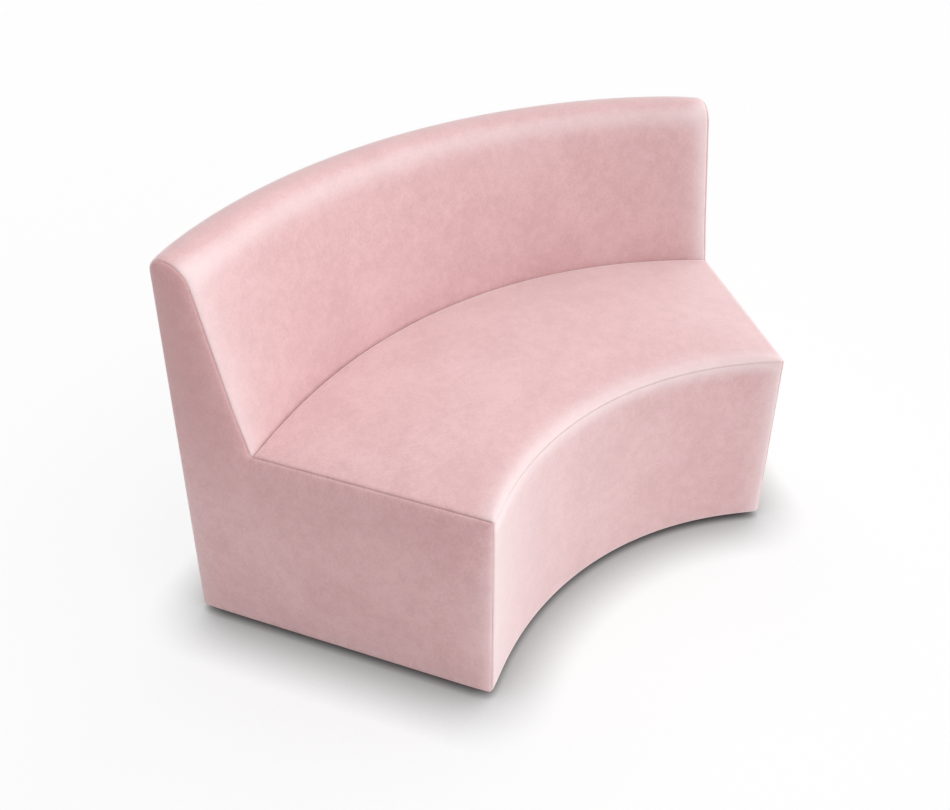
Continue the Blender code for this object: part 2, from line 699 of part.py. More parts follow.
def make_links():
    """Flat links under the right end, each on a pivot bolt, and catch studs under the left end."""
    top = BASE_GAP - LINK_DROP
    bottom = top - LINK_PLATE
    head_top = bottom - GAP
    head_bottom = head_top - BOLT_HEAD
    bite = WOOD_BOTTOM + BOLT_BITE
    shank = [(0.0, head_bottom), (BOLT_HEAD_RADIUS, head_bottom), (BOLT_HEAD_RADIUS, head_top),
             (BOLT_RADIUS, head_top), (BOLT_RADIUS, bite), (0.0, bite)]
    for key, place in link_places(1, PIVOT_INSET).items():
        bm = bmesh.new()
        lower = [bm.verts.new((x, y, bottom)) for x, y in link_outline()]
        face = bm.faces.new(lower)
        raised = bmesh.ops.extrude_face_region(bm, geom=[face])["geom"]
        upper = [part for part in raised if isinstance(part, bmesh.types.BMVert)]
        bmesh.ops.translate(bm, vec=(0, 0, LINK_PLATE), verts=upper)
        link = add_object("link_" + key, bm, "steel", (place.x, place.y, 0.0))
        link.rotation_euler.z = math.pi / 2 - BETA
        drill(link, [place], BOLT_RADIUS + BORE_FIT, bottom - LINK_PLATE, top + LINK_PLATE)
        turned("link_bolt_" + key, shank, (place.x, place.y, 0.0), "steel")
    for key, place in link_places(-1, STUD_INSET).items():
        turned("link_stud_" + key, shank, (place.x, place.y, 0.0), "steel")


def make_webbing():
    """Elastic straps from the front seat rail to the rear one."""
    front = FRAME_FRONT + SEAT_RAIL_WIDTH - WEB_LANDING
    rear = post_line(DECK_BOTTOM) - GAP - SEAT_RAIL_WIDTH + WEB_LANDING
    bottom = DECK_TOP + GAP
    for i in range(WEB_COUNT):
        fan = BETA * WEB_SPREAD * (2 * i / (WEB_COUNT - 1) - 1)
        across = Vector((math.cos(fan), -math.sin(fan))) * WEB_WIDTH / 2
        near, far = plan_point(front, fan), plan_point(rear, fan)
        corners = [near - across, near + across, far + across, far - across]
        prism(f"seat_web_{i + 1}", corners, bottom, bottom + WEB_THICKNESS, "webbing")


def centre_module(empty):
    """Stand the module with the middle of its box over the origin."""
    depths = [(obj.location + vert.co).y for obj in bpy.data.objects if obj.name.endswith("_cover")
              for vert in obj.data.vertices]
    empty.location.y = -(min(depths) + max(depths)) / 2


def main():
    clear_scene()
    empty = bpy.data.objects.new("sofa_module", None)
    bpy.context.collection.objects.link(empty)
    make_covers()
    make_foam()
    make_timber()
    make_base()
    make_webbing()
    make_glides()
    make_links()
    centre_module(empty)


main()
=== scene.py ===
"""Dresses the frame of a curved sofa module: velvet covers over foam, bare timber, glides and links.

The covers are flat panels of velvet, wrapped over the sofa's outline, sewn at their edges and then
swelled by a cloth simulation. Everything is in metres, in the frame of the module.
"""

import json
import math

import bmesh
import bpy
import numpy as np
from mathutils import Matrix, Vector

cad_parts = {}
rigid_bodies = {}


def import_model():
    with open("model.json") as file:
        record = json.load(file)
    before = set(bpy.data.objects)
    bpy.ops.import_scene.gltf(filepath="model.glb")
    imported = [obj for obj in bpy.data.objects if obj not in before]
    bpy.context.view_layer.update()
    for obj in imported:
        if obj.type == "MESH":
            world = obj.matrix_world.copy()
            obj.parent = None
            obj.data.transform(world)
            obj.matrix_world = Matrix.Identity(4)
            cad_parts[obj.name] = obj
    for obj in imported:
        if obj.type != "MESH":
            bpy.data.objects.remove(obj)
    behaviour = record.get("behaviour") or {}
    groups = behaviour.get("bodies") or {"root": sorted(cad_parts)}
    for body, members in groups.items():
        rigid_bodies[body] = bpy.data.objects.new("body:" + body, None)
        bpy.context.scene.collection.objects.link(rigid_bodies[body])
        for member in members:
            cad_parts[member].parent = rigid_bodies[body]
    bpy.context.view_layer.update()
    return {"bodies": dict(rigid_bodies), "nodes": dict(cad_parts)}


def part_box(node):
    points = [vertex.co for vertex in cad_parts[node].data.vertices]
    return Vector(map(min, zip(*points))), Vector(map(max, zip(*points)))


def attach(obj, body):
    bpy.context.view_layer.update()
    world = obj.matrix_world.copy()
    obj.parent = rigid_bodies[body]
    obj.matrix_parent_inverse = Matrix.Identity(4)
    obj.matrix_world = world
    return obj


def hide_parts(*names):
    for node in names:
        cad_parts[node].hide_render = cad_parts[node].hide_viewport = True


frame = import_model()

bl_info = {
    "name": "Curved Velvet Sofa Module",
    "version": (1, 0, 0),
    "blender": (4, 5, 0),
    "location": "View3D > Sidebar > Sofa",
    "description": "Covers the frame of a curved sofa module in velvet and sets a plain studio round it",
    "category": "Object",
}

COVER_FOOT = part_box("front_cover")[0].z
TOP_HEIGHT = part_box("inner_back_cover")[1].z


# Settings

def length(name, text, default):
    return bpy.props.FloatProperty(name=name, description=text, default=default, unit="LENGTH", precision=4)


def angle(name, text, degrees):
    return bpy.props.FloatProperty(name=name, description=text, default=math.radians(degrees), unit="ROTATION")


def share(name, text, default):
    return bpy.props.FloatProperty(name=name, description=text, default=default, min=0.0, subtype="FACTOR")


def amount(name, text, default):
    return bpy.props.FloatProperty(name=name, description=text, default=default)


def colour(name, text, default):
    return bpy.props.FloatVectorProperty(name=name, description=text, default=default, size=3, subtype="COLOR")


class SofaShape(bpy.types.PropertyGroup):
    """Sizes of the finished sofa, the same as those of its frame."""

    arc_centre: length("Arc centre", "Place on Y of the centre of the plan's arcs", -1.0222)
    front_radius: length("Front radius", "Concave front face, from the arc centre", 0.750)
    seat_depth: length("Seat depth", "Front face to the crevice", 0.495)
    seat_height: length("Seat height", "Seat top behind the front roll, at the ends", 0.467)
    back_height: length("Back height", "Back top at the middle", TOP_HEIGHT)
    back_rake: angle("Back rake", "Lean of the inside back", 12.5)
    top_depth: length("Top depth", "Thickness of the back at its top", 0.080)
    outer_lean: length("Outer lean", "How far the outside back draws in towards its top", 0.010)
    end_angle: angle("End angle", "Middle plane to each end plane", 30.0)
    end_setback: length("End setback", "The end planes meet this far in front of the arc centre", 0.120)
    foot: length("Foot", "Floor to the lower edge of the covers", COVER_FOOT)
    front_roll: length("Front roll", "Radius of the seat's front edge", 0.030)
    corner_roll: length("Corner roll", "The same at the two corners", 0.010)
    seam_angle: angle("Seam angle", "Place of the seat seam up the front roll", 25.0)
    top_front_roll: length("Top front roll", "Radius of the back's front top edge", 0.060)
    top_rear_roll: length("Top rear roll", "Radius of the back's rear top edge", 0.030)
    edge_round: length("Edge round", "Rounding where the covers meet the end panels", 0.010)
    foot_round: length("Foot round", "Rounding of the covers' lower edge", 0.009)
    crevice_round: length("Crevice round", "Rounding of the seat's rear edge", 0.006)
    crevice_corner: length("Crevice corner", "The same where the crevice meets an end panel", 0.0012)
    seat_crown_front: length("Seat crown front", "Rise of the seat's middle at the front", 0.006)
    seat_crown_rear: length("Seat crown rear", "Rise of the seat's middle at the crevice", 0.023)
    seat_dome: length("Seat dome", "Dome half-way back", 0.008)
    back_crown: length("Back crown", "Swell of the inside back", 0.006)
    top_crown: length("Top crown", "Rise of the back top at its middle", 0.012)
    seat_corner_drop: length("Seat corner drop", "Fall of the seat top at its front corners", 0.0107)
    top_corner_drop: length("Top corner drop", "Fall of the back top at its ends", 0.008)
    corner_power: amount("Corner power", "How close to the ends the corners fall", 6.0)


class VelvetCut(bpy.types.PropertyGroup):
    """How the velvet is cut, sewn and filled."""

    thickness: length("Thickness", "Pile and backing", 0.0010)
    lip: length("Lip", "Roll of each panel's edge into its seam", 0.0004)
    ridge: length("Ridge", "Ridge beside a seam", 0.0005)
    ridge_place: length("Ridge place", "Distance of the ridge from its seam", 0.0026)
    pillow: length("Pillow", "Swell beside a seam", 0.0010)
    pillow_reach: length("Pillow reach", "How far from a seam the pillow rises", 0.010)
    proud: length("Proud", "How far the middle of an end panel stands out", 0.0085)
    end_shoulder: length("End shoulder", "How far an end panel draws in towards its seam", 0.0110)
    seat_shoulder: length("Seat shoulder", "How far the front and seat draw in towards an end seam", 0.0020)
    back_shoulder: length("Back shoulder", "The same on the inside back", 0.0065)
    shoulder_reach: length("Shoulder reach", "How far from an end seam the shoulders run", 0.022)
    crevice_gap: length("Crevice gap", "Slot between the seat and the back", 0.0025)
    swell: length("Swell", "The most that the filling pushes a panel out", 0.0035)
    pressure: amount("Pressure", "Push of the filling on the cloth", 1.5)
    weave_step: length("Step", "Spacing of the cloth's points", 0.013)
    tuck: length("Tuck", "Depth that the covers run down into the crevice", 0.028)
    turn_under: length("Turn under", "Velvet turned in below the base", 0.0143)


class VelvetLook(bpy.types.PropertyGroup):
    """Colours and sheen of the velvet."""

    dark: colour("Pile dark", "Pile that leans away", (0.665, 0.372, 0.382))
    middle: colour("Pile middle", "Pile colour", (0.720, 0.422, 0.432))
    light: colour("Pile light", "Pile that leans towards the light", (0.770, 0.472, 0.482))
    # Painted highlight and painted shade, mixed into the pile's colour where light or shade falls on the cover
    painted_highlight: colour("Painted highlight", "Painted highlight where light falls on the cover's bends", (0.96, 0.83, 0.835))
    painted_shade: colour("Painted shade", "Painted shade on the back's top and the upper end panels", (0.52, 0.245, 0.252))
    painted_light_share: share("Painted light share", "How much painted highlight or painted shade goes into the colour", 0.55)
    sheen: share("Sheen", "Bright edge of the pile", 1.0)
    end_sheen: share("End sheen", "The same on the end panels, whose pile runs down", 0.35)
    sheen_roughness: share("Sheen roughness", "Spread of the bright edge", 0.56)
    sheen_tint: colour("Sheen tint", "Colour of the bright edge", (1.0, 0.98, 0.98))


class StudioLight(bpy.types.PropertyGroup):
    """The plain studio."""

    floor: colour("Floor", "Colour of the floor", (0.95, 0.95, 0.95))
    sky: amount("Sky", "Strength of the even light from all round", 0.28)
    front: amount("Front", "Strength of the lamp in front", 0.94)
    top: amount("Top", "Strength of the lamp overhead, behind the right end", 0.92)
    right: amount("Right", "Strength of the broad lamp at the right", 1.22)
    low: amount("Low", "Strength of the low lamp at the right", 0.80)


def shape():
    return bpy.context.scene.sofa_shape


def cut():
    return bpy.context.scene.velvet_cut


def look():
    return bpy.context.scene.velvet_look


def studio():
    return bpy.context.scene.studio_light


# Outline of the sofa, as radius and height about the arc centre

def crown(across):
    """Share of a crown's rise, from 1 at the middle of the sofa to 0 at its ends."""
    return 1.0 - min(1.0, abs(across)) ** 2


def corner(s, across):
    """Share of the fall at the corners, from 0 at the middle of the sofa to 1 at its ends."""
    return min(1.0, abs(across)) ** s.corner_power


def bulge(run):
    """Share of a swell that is full half-way along a run from 0 to 1."""
    return 4.0 * run * (1.0 - run)


def arc(centre, radius, start, stop, steps=24):
    """Points of an arc; an angle of 0 faces the arc centre of the plan, a quarter turn faces up."""
    turns = np.linspace(start, stop, steps + 1)
    return [(centre[0] - radius * math.cos(t), centre[1] + radius * math.sin(t)) for t in turns]


def end_height(s):
    return s.back_height - s.top_crown


def back_line(s, height):
    return s.front_radius + s.seat_depth + (height - s.seat_height) * math.tan(s.back_rake)


def outer_line(s, height):
    drawn = s.outer_lean * (end_height(s) - height) / (end_height(s) - s.foot)
    return back_line(s, end_height(s)) + s.top_depth + drawn


def seat_top(s, run, across):
    slope = s.seat_crown_front + (s.seat_crown_rear - s.seat_crown_front) * run
    rise = (slope + s.seat_dome * bulge(run)) * crown(across)
    return s.seat_height + rise - s.seat_corner_drop * (1.0 - run) * corner(s, across)


def front_roll(s, across, start, stop):
    """Part of the seat's front edge."""
    radius = s.front_roll + (s.corner_roll - s.front_roll) * corner(s, across)
    return arc((s.front_radius + radius, seat_top(s, 0.0, across) - radius), radius, start, stop)


def front_path(s, across, stop):
    """From the turned-in edge below the base, up the front to an angle on the front roll."""
    low = (s.front_radius + s.foot_round, s.foot + s.foot_round)
    return arc(low, s.foot_round, -math.pi / 2, 0.0) + front_roll(s, across, 0.0, stop)


def seat_path(s, across, start, rounding):
    """From an angle on the front roll to the crevice, and round its edge by rounding."""
    path = front_roll(s, across, start, math.pi / 2)
    first = path[-1][0]
    last = back_line(s, seat_top(s, 1.0, across)) - rounding
    for run in np.linspace(0.0, 1.0, 41)[1:]:
        path.append((first + (last - first) * run, seat_top(s, run, across)))
    return path


def back_path(s, across):
    """From the crevice up the inside back, over the top and round the rear roll."""
    top = end_height(s) + s.top_crown * crown(across) - s.top_corner_drop * corner(s, across)
    low = seat_top(s, 1.0, across)
    high = top - s.top_front_roll * (1.0 - math.sin(s.back_rake))
    path = []
    for run in np.linspace(0.0, 1.0, 31)[:-1]:
        height = low + (high - low) * run
        path.append((back_line(s, height) - s.back_crown * crown(across) * bulge(run), height))
    centre = (back_line(s, high) + s.top_front_roll * math.cos(s.back_rake), top - s.top_front_roll)
    path += arc(centre, s.top_front_roll, s.back_rake, math.pi / 2)
    centre = (outer_line(s, top - s.top_rear_roll) - s.top_rear_roll, top - s.top_rear_roll)
    return path + arc(centre, s.top_rear_roll, math.pi / 2, math.pi)


def outer_path(s, across):
    """From below the rear roll down to the turned-in lower edge."""
    top = back_path(s, across)[-1]
    low = (outer_line(s, s.foot) - s.foot_round, s.foot + s.foot_round)
    return [top] + arc(low, s.foot_round, math.pi, 1.5 * math.pi)


# Plan of the sofa, on upright planes that fan out from where the two end planes meet

def reach(s, radius, fan):
    """Distance from the meeting line to an arc radius, on the plane at an angle."""
    return s.end_setback * np.cos(fan) + np.sqrt(radius ** 2 - (s.end_setback * np.sin(fan)) ** 2)


def plan_place(s, radius, fan):
    away = reach(s, radius, fan)
    return away * np.sin(fan), away * np.cos(fan) - s.end_setback + s.arc_centre


def end_place(s, side, along, inset):
    """Place from the meeting line: along an end plane and inset from it."""
    x = side * (along * math.sin(s.end_angle) - inset * math.cos(s.end_angle))
    y = along * math.cos(s.end_angle) + inset * math.sin(s.end_angle) - s.end_setback + s.arc_centre
    return x, y


# Wrapping a panel of velvet

EDGE_TOLERANCE = 1e-9
MERGE_DISTANCE = 1e-5
PATTERN_EASE = 1.09
TRACE_NUDGE = 0.0006
RIDGE_SPREAD = 0.6
SHOULDER_RISE = 0.10
SHOULDER_END = 1.2
# The painted highlight dips right by a seam, which paints a darker line along it
SEAM_HIGHLIGHT_DIP_REACH = 0.0014
SEAM_HIGHLIGHT_DIP = 0.3
# A place along a path below 0 counts back from where the path stops
AT_STOP = -1e-6
# How much painted highlight lies by an end seam, and over what reach
PLAIN_END_HIGHLIGHT = (0.5, 0.022)
NO_END_HIGHLIGHT = (0.0, 0.022)
# Lines of painted highlight or painted shade, then the painted highlight by the left and the right end seam
PLAIN_PAINTED_LIGHT = ((), PLAIN_END_HIGHLIGHT, PLAIN_END_HIGHLIGHT)
FRONT_PAINTED_LIGHT = (((1.0, AT_STOP, 0.020),), (0.7, 0.050), (1.5, 0.018))
SEAT_PAINTED_LIGHT = (((1.0, 0.0, 0.029),), NO_END_HIGHLIGHT, NO_END_HIGHLIGHT)
# Lines on the back, placed from where its top roll starts: painted highlight on the roll's front, painted shade
# over its top
ROLL_PAINTED_HIGHLIGHT = (0.66, 0.0150, 0.026)
ROLL_PAINTED_SHADE = (-0.88, 0.080, 0.034)
BACK_END_HIGHLIGHTS = ((0.9, 0.050), (1.6, 0.028))
# Distances from a panel's edge of its first points: by a seam, and by a plain edge
SEAM_STEPS = (0.0001, 0.0004, 0.0008, 0.0013, 0.0022, 0.0036, 0.0056, 0.0085, 0.0125, 0.0175)
PLAIN_STEPS = (0.0, 0.004, 0.008, 0.012)


def spread(total, first, last, step):
    """Distances along a panel: close to each other by its edges, and evenly spaced between."""
    start, stop = first[-1], total - last[-1]
    count = max(2, round((stop - start) / step))
    middle = np.linspace(start, stop, count + 1)
    return np.concatenate([first[:-1], middle, [total - e for e in reversed(last[:-1])]])


def lip_drop(edge):
    """How far a panel rolls into its seam at a distance from it."""
    lip = cut().lip
    return np.where(edge < lip, lip - np.sqrt(np.maximum(0.0, lip ** 2 - (lip - edge) ** 2)), 0.0)


def pillow_rise(edge):
    """How far a panel stands out at a distance from the nearest seam."""
    c = cut()
    ridge = c.ridge * np.exp(-((edge / c.ridge_place - 1.0) / RIDGE_SPREAD) ** 2)
    return c.pillow * (1.0 - np.exp(-edge / c.pillow_reach)) + ridge


def smooth(value):
    """A soft step from 0 to 1."""
    value = np.clip(value, 0.0, 1.0)
    return value ** 2 * (3.0 - 2.0 * value)


def long_shoulder(s, radius, height):
    """How far the long covers draw in at an end seam: most on the inside back, least behind it."""
    c = cut()
    inside = back_line(s, height)
    back = smooth((height - s.seat_height) / SHOULDER_RISE)
    back = back * (1.0 - smooth((radius - inside) / (outer_line(s, height) - inside) * SHOULDER_END))
    return c.seat_shoulder + (c.back_shoulder - c.seat_shoulder) * back


def seam_highlight_share(edge):
    """Share of the painted highlight at a distance from a seam: it dips right by the seam, which paints a darker
    line there.
    """
    return 1.0 - SEAM_HIGHLIGHT_DIP * np.exp(-(edge / SEAM_HIGHLIGHT_DIP_REACH) ** 2)


def fade(edge):
    """Share of a shoulder at a distance from its seam."""
    return np.exp(-edge / cut().shoulder_reach)


def rounded_edge(s, edge, way, rolled=1.0):
    """Depth from the end plane and draw-in of the rounded edge, at a distance from the seam half-way round.

    A way of -1 goes from the seam over to the long covers, and 1 to the end panel. A panel that isn't
    rolled into a seam has rolled at 0.
    """
    turn = min(math.pi / 2, max(0.0, math.pi / 4 + way * edge / s.edge_round))
    beyond = max(0.0, edge - s.edge_round * math.pi / 4)
    drop = rolled * float(lip_drop(np.array(edge)))
    depth = s.edge_round * (1.0 - math.sin(turn)) + drop * math.sin(turn)
    drawn = s.edge_round * (1.0 - math.cos(turn)) + drop * math.cos(turn)
    return (depth + beyond, drawn) if way < 0 else (depth, drawn + beyond)


def trace(path, shares):
    """Points of a path at shares of its length, with the directions that face out of the sofa."""
    points = np.array(path)
    steps = np.hypot(*np.diff(points, axis=0).T)
    keep = np.concatenate([[True], steps > 1e-7])
    points = points[keep]
    along = np.concatenate([[0.0], np.cumsum(np.hypot(*np.diff(points, axis=0).T))])
    where = shares * along[-1]

    def at_length(run):
        return np.stack([np.interp(run, along, points[:, i]) for i in (0, 1)], axis=1)

    way = at_length(where + TRACE_NUDGE) - at_length(where - TRACE_NUDGE)
    way /= np.linalg.norm(way, axis=1)[:, None]
    return at_length(where), np.stack([-way[:, 1], way[:, 0]], axis=1)


def path_length(path):
    return float(np.hypot(*np.diff(np.array(path), axis=0).T).sum())


def panel_half(s, radius):
    """Half the width of a panel that lies round the arc centre at a radius."""
    return radius * s.end_angle * PATTERN_EASE


def wrap_panel(name, path, sewn, light_painting=PLAIN_PAINTED_LIGHT):
    """A panel of velvet over the sofa, along path(across); sewn says whether its start and stop are seams.

    The pile gets a painted highlight, and painted shade where that is negative: along lines, each with how much,
    where along the path and over what reach, and then how much and over what reach by the left and right seams.
    """
    s, c = shape(), cut()
    middle = path(0.0)
    total = path_length(middle)
    first, last = (SEAM_STEPS if seam else PLAIN_STEPS for seam in sewn)
    rows = spread(total, first, last, c.weave_step)
    start_edge = rows if sewn[0] else np.full(len(rows), 1.0)
    stop_edge = total - rows if sewn[1] else np.full(len(rows), 1.0)
    row_edge = np.minimum(start_edge, stop_edge)
    width = 2.0 * panel_half(s, middle[len(middle) // 2][0])
    columns = spread(width, SEAM_STEPS, SEAM_STEPS, c.weave_step)
    column_edge = np.minimum(columns, width - columns)
    edges = len(SEAM_STEPS)
    drop = lip_drop(start_edge) + lip_drop(stop_edge)

    bm = bmesh.new()
    bmesh.ops.create_grid(bm, x_segments=len(columns) - 1, y_segments=len(rows) - 1, size=1.0)
    uv = bm.loops.layers.uv.new("cloth")
    bend = bm.verts.layers.float.new("bend")
    places = np.zeros((len(rows), len(columns), 3))
    painted_light_map = np.zeros((len(rows), len(columns)))
    lines, *ends = light_painting
    # Painted highlight or painted shade along lines of the panel, and painted highlight by its end seams
    row_painted_light = sum(much * np.exp(-((rows - place % total) / span) ** 2) for much, place, span in lines)
    sunk = c.end_shoulder - c.proud
    inner = rounded_edge(s, SEAM_STEPS[-1], -1)[0] + sunk
    for j, column in enumerate(columns):
        across = 2.0 * column / width - 1.0
        at, out = trace(path(across), rows / total)
        away = reach(s, at[:, 0], s.end_angle)
        if j < edges or j >= len(columns) - edges:
            depth, drawn = rounded_edge(s, column_edge[j], -1)
            fan = math.copysign(1.0, across) * (s.end_angle - np.arcsin((depth + sunk) / away))
        else:
            drawn = 0.0
            blend = (j - edges + 1) / (len(columns) - 2 * edges + 1)
            fan = (s.end_angle - np.arcsin(inner / away)) * (2.0 * blend - 1.0)
        edge = np.minimum(row_edge, column_edge[j])
        fall = long_shoulder(s, at[:, 0], at[:, 1]) * fade(column_edge[j])
        rise = pillow_rise(edge) - drop - drawn - fall
        end_highlight, end_highlight_reach = ends[int(across > 0.0)]
        painted_light_map[:, j] = (row_painted_light + end_highlight * math.exp(-column_edge[j] / end_highlight_reach)) * seam_highlight_share(edge)
        radius = at[:, 0] + out[:, 0] * rise
        places[:, j, 0], places[:, j, 1] = plan_place(s, radius, fan)
        places[:, j, 2] = at[:, 1] + out[:, 1] * rise
    pinned = []
    start_held, stop_held = (SEAM_STEPS[-1] if seam else c.tuck + s.crevice_round for seam in sewn)
    for vert in bm.verts:
        j = round((vert.co.x + 1.0) / 2.0 * (len(columns) - 1))
        i = round((vert.co.y + 1.0) / 2.0 * (len(rows) - 1))
        for loop in vert.link_loops:
            loop[uv].uv = (columns[j], rows[i])
        held = rows[i] < start_held or total - rows[i] < stop_held
        if held or column_edge[j] < SEAM_STEPS[-1] + EDGE_TOLERANCE:
            pinned.append(vert.index)
        vert[bend] = min(1.0, painted_light_map[i, j])
        vert.co = places[i, j]
    return finish_panel(name, bm, pinned, shared("velvet_pile", velvet, look().sheen))


OUTLINE_FINE = 0.0025
OUTLINE_STEP = 0.026
STRAIGHT = 1e-7
TIGHT_CORNER = 0.045
CORNER_SHARE = 0.8
LEAST_TURN = 1e-6
END_STEP = 0.016
END_PINNED = 0.030
# Painted highlight by an end panel's seams, and painted shade over its upper part, from a height over a rise
END_PAINTED_HIGHLIGHT = 0.65
END_PAINTED_SHADE = 1.1
END_PAINTED_SHADE_LOW = 0.25
END_PAINTED_SHADE_RISE = 0.45
# Distances from the rounded edge over which the velvet turns under the base
HEM_STEPS = (0.0015, 0.003, 0.005, 0.0075)


def stretch(start, stop, step):
    """Points from start to stop, without start, no further apart than step."""
    count = max(1, math.ceil(math.dist(start, stop) / step))
    return [tuple(np.array(start) + (np.array(stop) - np.array(start)) * k / count) for k in range(1, count + 1)]


def straight(before, point, after):
    """Whether a point lies on the line between two others."""
    run, back = np.subtract(after, before), np.subtract(point, before)
    return abs(run[0] * back[1] - run[1] * back[0]) < STRAIGHT * np.hypot(*run)


def end_outline(s):
    """Outline of an end panel on its plane, from the front foot over the sofa to the rear foot and back.

    The second value is the place in it where the run below the base starts, the third each point's shoulder.
    """
    path = front_path(s, 1.0, s.seam_angle) + seat_path(s, 1.0, s.seam_angle, 0.0)[1:]
    crevice = path[-1]
    path += back_path(s, 1.0)[1:] + outer_path(s, 1.0)[1:]
    kept = [path[0]]
    painted_light_map = [point for before, point, after in zip(path, path[1:], path[2:]) if not straight(before, point, after)]
    for point in painted_light_map + [path[-1]]:
        if point in (crevice, path[-1]) and math.dist(point, kept[-1]) < OUTLINE_FINE:
            kept[-1] = point
        elif math.dist(point, kept[-1]) >= OUTLINE_FINE:
            kept += stretch(kept[-1], point, OUTLINE_STEP)
    at = kept.index(crevice)
    before, after = (stretch(crevice, kept[at + way], OUTLINE_FINE)[0] for way in (-1, 1))
    kept[at:at + 1] = [before, crevice, after]
    under = len(kept)
    kept += stretch(kept[-1], kept[0], OUTLINE_STEP)[:-1]
    fall = np.array([float(long_shoulder(s, radius, height)) for radius, height in kept])
    return np.array([(reach(s, radius, s.end_angle), height) for radius, height in kept]), under, fall


def mitre(ahead, behind):
    """The move that draws in by 1 both sides of a corner, given the ways that face in from them."""
    return (ahead + behind) / (1.0 + (ahead * behind).sum(axis=-1, keepdims=True))


def draw_in(outline):
    """A function that draws in point k of a closed outline by a distance.

    A tight corner draws in along its points' own ways for most of its radius, and then as one.
    """
    side = np.roll(outline, -1, axis=0) - outline
    run = np.linalg.norm(side, axis=1)
    side /= run[:, None]
    ahead = np.stack([side[:, 1], -side[:, 0]], axis=1)
    behind = np.roll(ahead, 1, axis=0)
    near = mitre(ahead, behind)
    turn = behind[:, 0] * ahead[:, 1] - behind[:, 1] * ahead[:, 0]
    radius = np.minimum(run, np.roll(run, 1)) / np.maximum(-turn, LEAST_TURN)
    tight = radius < TIGHT_CORNER
    count = len(outline)
    far, limit = near.copy(), np.full(count, 1.0)
    for k in np.nonzero(tight)[0]:
        first, last = k, k
        while tight[(first - 1) % count]:
            first -= 1
        while tight[(last + 1) % count]:
            last += 1
        group = [i % count for i in range(first, last + 1)]
        far[k] = mitre(ahead[last % count], behind[first % count])
        limit[k] = CORNER_SHARE * radius[group].min()
    return lambda k, drawn: outline[k] + near[k] * min(drawn, limit[k]) + far[k] * max(0.0, drawn - limit[k])


def outline_distance(outline, points):
    """Least distance of each point to a closed outline, and the place in it."""
    start = outline[None]
    side = (np.roll(outline, -1, axis=0) - outline)[None]
    along = ((points[:, None] - start) * side).sum(axis=2) / (side ** 2).sum(axis=2)
    near = start + side * np.clip(along, 0.0, 1.0)[..., None]
    away = np.linalg.norm(points[:, None] - near, axis=2)
    return away.min(axis=1), away.argmin(axis=1)


def numbered_ring(bm, count):
    """A ring of verts, and the layer with their numbers, which verts extruded from them keep."""
    place = bm.verts.layers.int.new("place")
    ring = bmesh.ops.create_circle(bm, cap_ends=False, segments=count, radius=1.0)["verts"]
    for k, vert in enumerate(ring):
        vert[place] = k
    return ring, place


def grow_edges(bm, edges):
    """Extrude edges, and give the new verts and edges along them."""
    made = bmesh.ops.extrude_edge_only(bm, edges=edges)["geom"]
    verts = {part for part in made if isinstance(part, bmesh.types.BMVert)}
    return verts, [part for part in made if isinstance(part, bmesh.types.BMEdge) and verts.issuperset(part.verts)]


def cut_grid(bm, faces, lines, step):
    """Cut faces by planes a step apart across each of the lines, given as (low point, direction, length)."""
    mark = bm.faces.layers.int["cut"]
    for face in faces:
        face[mark] = 1
    for low, way, run in lines:
        count = max(1, round(run / step))
        for k in range(1, count):
            region = [face for face in bm.faces if face[mark]]
            parts = {part for face in region for part in (*face.verts, *face.edges)}
            where = Vector(low) + Vector(way) * run * k / count
            bmesh.ops.bisect_plane(bm, geom=region + list(parts), dist=MERGE_DISTANCE, plane_co=where, plane_no=way)


def end_painted_light(edge, height):
    """Painted light on an end panel: a painted highlight by its seams, and painted shade up beside the back."""
    painted_shade = END_PAINTED_SHADE * smooth((height - END_PAINTED_SHADE_LOW) / END_PAINTED_SHADE_RISE)
    return float(END_PAINTED_HIGHLIGHT * fade(edge) * seam_highlight_share(edge) - painted_shade)


